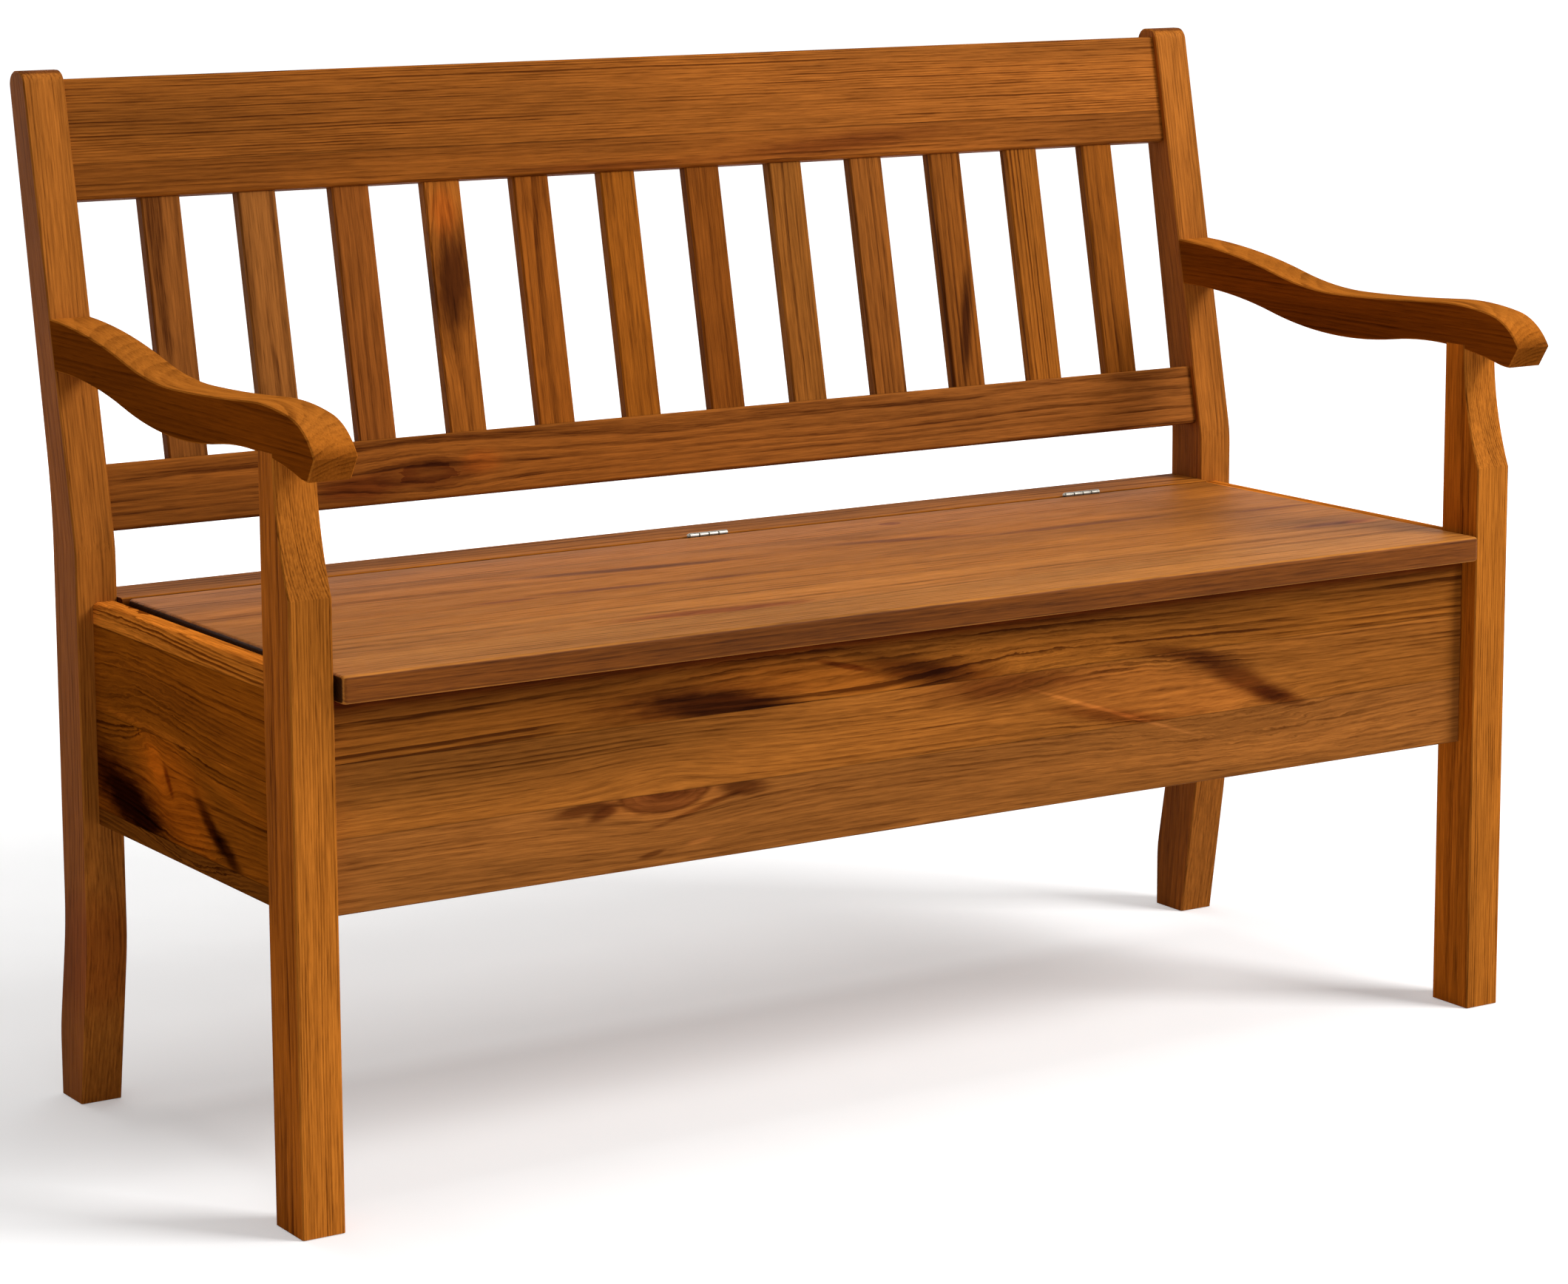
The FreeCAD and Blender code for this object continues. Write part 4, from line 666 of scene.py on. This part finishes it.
# The eased end of a knuckle: how far in from the end, and how far below the full radius.
KNUCKLE_END = ((0.0, 0.0005), (0.0001, 0.00025), (0.0003, 0.00006), (0.0006, 0.0))
LEAF_GAP, LEAF_THICKNESS, LEAF_DROP, LEAF_TOP = 0.0002, 0.0013, 0.021, 0.0031
LEAF_CORNER, NECK_TOP, SHORTEST_EDGE = 0.002, 0.0004, 0.0006
SCREW_STEP, SCREW_DROP, SCREW_HEAD = 0.013, 0.0125, 0.00263
# A pin's domed head and its eased tip: how far from the end, and the radius there.
PIN_HEAD = ((0.0, 0.0009), (0.0002, 0.0015), (0.0006, 0.0019), (0.0010, 0.0020),
            (0.0013, 0.0019), (0.0014, 0.0013))
PIN_TIP = ((-0.0003, 0.0013), (0.0, 0.0010))
TURNED_SIDES, HOLE_SIDES, SHARP = 28, 24, math.radians(32)


def lathe(mesh, profile, centre, bore=0.0):
    """Turns (x, radius) pairs about a line along X. A bore runs through from end to end."""
    if bore:
        profile = [*profile, (profile[-1][0], bore), (profile[0][0], bore)]
    turns = [math.tau * k / TURNED_SIDES for k in range(TURNED_SIDES)]
    rings = []
    for x, radius in profile:
        rings.append([mesh.verts.new((centre.x + x, centre.y + radius * math.cos(turn),
                                      centre.z + radius * math.sin(turn))) for turn in turns])
    for first, second in zip(rings, [*rings[1:], rings[0]] if bore else rings[1:]):
        for k in range(TURNED_SIDES):
            n = (k + 1) % TURNED_SIDES
            mesh.faces.new((first[k], first[n], second[n], second[k]))
    if not bore:
        mesh.faces.new(rings[0][::-1])
        mesh.faces.new(rings[-1])


def steel_piece(mesh, name, body, node):
    """Finishes a hinge piece: outward faces, smooth rounds, sharp edges, its body and finish."""
    bmesh.ops.recalc_face_normals(mesh, faces=mesh.faces)
    data = bpy.data.meshes.new(name)
    mesh.to_mesh(data)
    mesh.free()
    data.materials.append(hinge_steel)
    data.polygons.foreach_set("use_smooth", [True] * len(data.polygons))
    data.set_sharp_from_angle(angle=SHARP)
    made = bpy.data.objects.new(name, data)
    bpy.context.scene.collection.objects.link(made)
    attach(made, body)
    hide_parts(node)


def leaf(place_name, centre, owner, side):
    """One leaf: a plate with two screw holes, and two eased knuckles on necks.

    side is 1 behind the pin and -1 before it.
    """
    mesh = bmesh.new()
    half, neck = 2 * KNUCKLE_PITCH, KNUCKLE_LENGTH / 2
    knuckles = [(k - 1.5) * KNUCKLE_PITCH for k in ((0, 2) if side > 0 else (1, 3))]
    outline = [(-half, -LEAF_DROP + LEAF_CORNER), (-half + LEAF_CORNER, -LEAF_DROP),
               (half - LEAF_CORNER, -LEAF_DROP), (half, -LEAF_DROP + LEAF_CORNER),
               (half, -LEAF_TOP)]
    for x in reversed(knuckles):
        outline += [(x + neck, -LEAF_TOP), (x + neck, -NECK_TOP), (x - neck, -NECK_TOP),
                    (x - neck, -LEAF_TOP)]
    outline.append((-half, -LEAF_TOP))
    # A neck beside the end of the leaf has no step of its own.
    outline = [p for k, p in enumerate(outline) if math.dist(p, outline[k - 1]) > SHORTEST_EDGE]
    holes = [[(x + SCREW_HEAD * math.cos(math.tau * k / HOLE_SIDES),
               -SCREW_DROP + SCREW_HEAD * math.sin(math.tau * k / HOLE_SIDES))
              for k in range(HOLE_SIDES)] for x in (-SCREW_STEP, SCREW_STEP)]
    edges = []
    for loop in (outline, *holes):
        ring = [mesh.verts.new((centre.x + x, centre.y + side * LEAF_GAP, centre.z + z))
                for x, z in loop]
        edges += [mesh.edges.new((ring[k - 1], ring[k])) for k in range(len(ring))]
    bmesh.ops.triangle_fill(mesh, edges=edges, use_beauty=True)
    plate = bmesh.ops.extrude_face_region(mesh, geom=list(mesh.faces))
    grown = [v for v in plate["geom"] if isinstance(v, bmesh.types.BMVert)]
    bmesh.ops.translate(mesh, verts=grown, vec=(0, side * LEAF_THICKNESS, 0))
    profile = [(-neck + inward, KNUCKLE_RADIUS - lower) for inward, lower in KNUCKLE_END]
    profile += [(neck - inward, KNUCKLE_RADIUS - lower) for inward, lower in KNUCKLE_END[::-1]]
    for x in knuckles:
        lathe(mesh, profile, centre + Vector((x, 0, 0)), KNUCKLE_BORE)
    node = "hinge_%s_%s_leaf" % (place_name, owner)
    steel_piece(mesh, node + "_formed", owner, node)


for place_name, across in (("left", -HINGE_X), ("middle", 0.0), ("right", HINGE_X)):
    centre = HINGE_AXIS + Vector((across, 0, 0))
    leaf(place_name, centre, "frame", 1)
    leaf(place_name, centre, "lid", -1)
    node = "hinge_%s_pin" % place_name
    near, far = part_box(node)
    mesh = bmesh.new()
    lathe(mesh, [*[(near.x + x, radius) for x, radius in PIN_HEAD],
                 *[(far.x + x, radius) for x, radius in PIN_TIP]],
          Vector((0, centre.y, centre.z)))
    steel_piece(mesh, node + "_turned", "frame", node)
screw_steel = metal("screw_steel_plate", stain(160, 156, 140), 0.32)
for node in ("hinge_screws_frame", "hinge_screws_lid", "cleat_screws", "lid_batten_screws"):
    dress(node, screw_steel)


WHITE = (1, 1, 1, 1)
REACH, FLOOR_DROP = 30.0, 0.0005
FLOOR_STRETCH = (9, 9, 9)
# The floor's glow grows from the bench outwards: distances, and strengths there.
GLOW_NEAR, GLOW_FAR, GLOW_LOW, GLOW_HIGH = 0.9, 3.2, 0.3, 0.95
AMBIENT = 0.24


def floor_paint():
    """Pale matt floor, a little brighter to the camera, so that it meets the white background."""
    material, web = new_material("floor_paint")
    place = web.node("TexCoord").outputs["Object"]
    shade = web.smooth(web.noise(place, FLOOR_STRETCH, 3.0), 0.2, 0.8, 0.80, 0.82)
    matt = web.node("BsdfDiffuse")
    web.put(matt.inputs["Color"], web.join(shade, shade, shade))
    glow = web.node("Emission")
    glow.inputs["Color"].default_value = WHITE
    away = web.vector("LENGTH", web.vector("MULTIPLY", place, (1, 1, 0)))
    strength = web.smooth(away, GLOW_NEAR, GLOW_FAR, GLOW_LOW, GLOW_HIGH)
    web.put(glow.inputs["Strength"], web.math("MULTIPLY", web.looked_at(), strength))
    both = web.node("AddShader")
    web.links.new(matt.outputs[0], both.inputs[0])
    web.links.new(glow.outputs[0], both.inputs[1])
    web.end(both)
    return material


mesh = bpy.data.meshes.new("floor")
corners = ((-1, -1), (1, -1), (1, 1), (-1, 1))
mesh.from_pydata([(x * REACH, y * REACH, -FLOOR_DROP) for x, y in corners], [], [(0, 1, 2, 3)])
mesh.materials.append(floor_paint())
floor = bpy.data.objects.new("floor", mesh)
bpy.context.scene.collection.objects.link(floor)
floor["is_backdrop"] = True

world = bpy.data.worlds.new("studio")
bpy.context.scene.world = world
world.use_nodes = True
world.node_tree.nodes.clear()
sky = Web(world.node_tree)
air = sky.node("Background")
air.inputs["Color"].default_value = WHITE
sky.put(air.inputs["Strength"], sky.mix(sky.looked_at(), AMBIENT, 1.0))
sky.end(air, "OutputWorld")

LAMP_AIM = Vector((0, 0, 0.45))


def softbox(name, at, size, power):
    """A square lamp of so many metres and watts that points at the bench."""
    data = bpy.data.lights.new(name, "AREA")
    data.shape = "SQUARE"
    data.size = size
    data.energy = power
    made = bpy.data.objects.new(name, data)
    made.location = at
    made.rotation_euler = (LAMP_AIM - Vector(at)).to_track_quat("-Z", "Y").to_euler()
    bpy.context.scene.collection.objects.link(made)


softbox("key", (3.2, -3.4, 3.6), 2.2, 300)
softbox("top", (0.0, 0.2, 4.2), 2.6, 70)
softbox("fill", (-2.0, -4.6, 1.6), 2.4, 14)
softbox("back", (-0.8, 4.6, 1.3), 2.4, 45)

CAMERA_PLACE = (-2.09143, -3.24605, 1.13375)
YAW, PITCH, ROLL = 0.567688, -0.161918, -0.0045186
camera = bpy.data.cameras.new("camera")
camera.sensor_width = 36.0
camera.lens = 97.995
camera.shift_y = -0.0802
camera.clip_start, camera.clip_end = 0.05, 200.0
view = bpy.data.objects.new("camera", camera)
ahead = Vector((math.sin(YAW) * math.cos(PITCH), math.cos(YAW) * math.cos(PITCH),
                math.sin(PITCH)))
level_right = Vector((math.cos(YAW), -math.sin(YAW), 0.0))
level_up = level_right.cross(ahead)
right = level_right * math.cos(ROLL) + level_up * math.sin(ROLL)
up = level_up * math.cos(ROLL) - level_right * math.sin(ROLL)
turn = Matrix((right, up, -ahead)).transposed().to_4x4()
view.matrix_world = Matrix.Translation(CAMERA_PLACE) @ turn
bpy.context.scene.collection.objects.link(view)
bpy.context.scene.camera = view
bpy.context.scene.view_settings.view_transform = "Standard"

low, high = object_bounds()
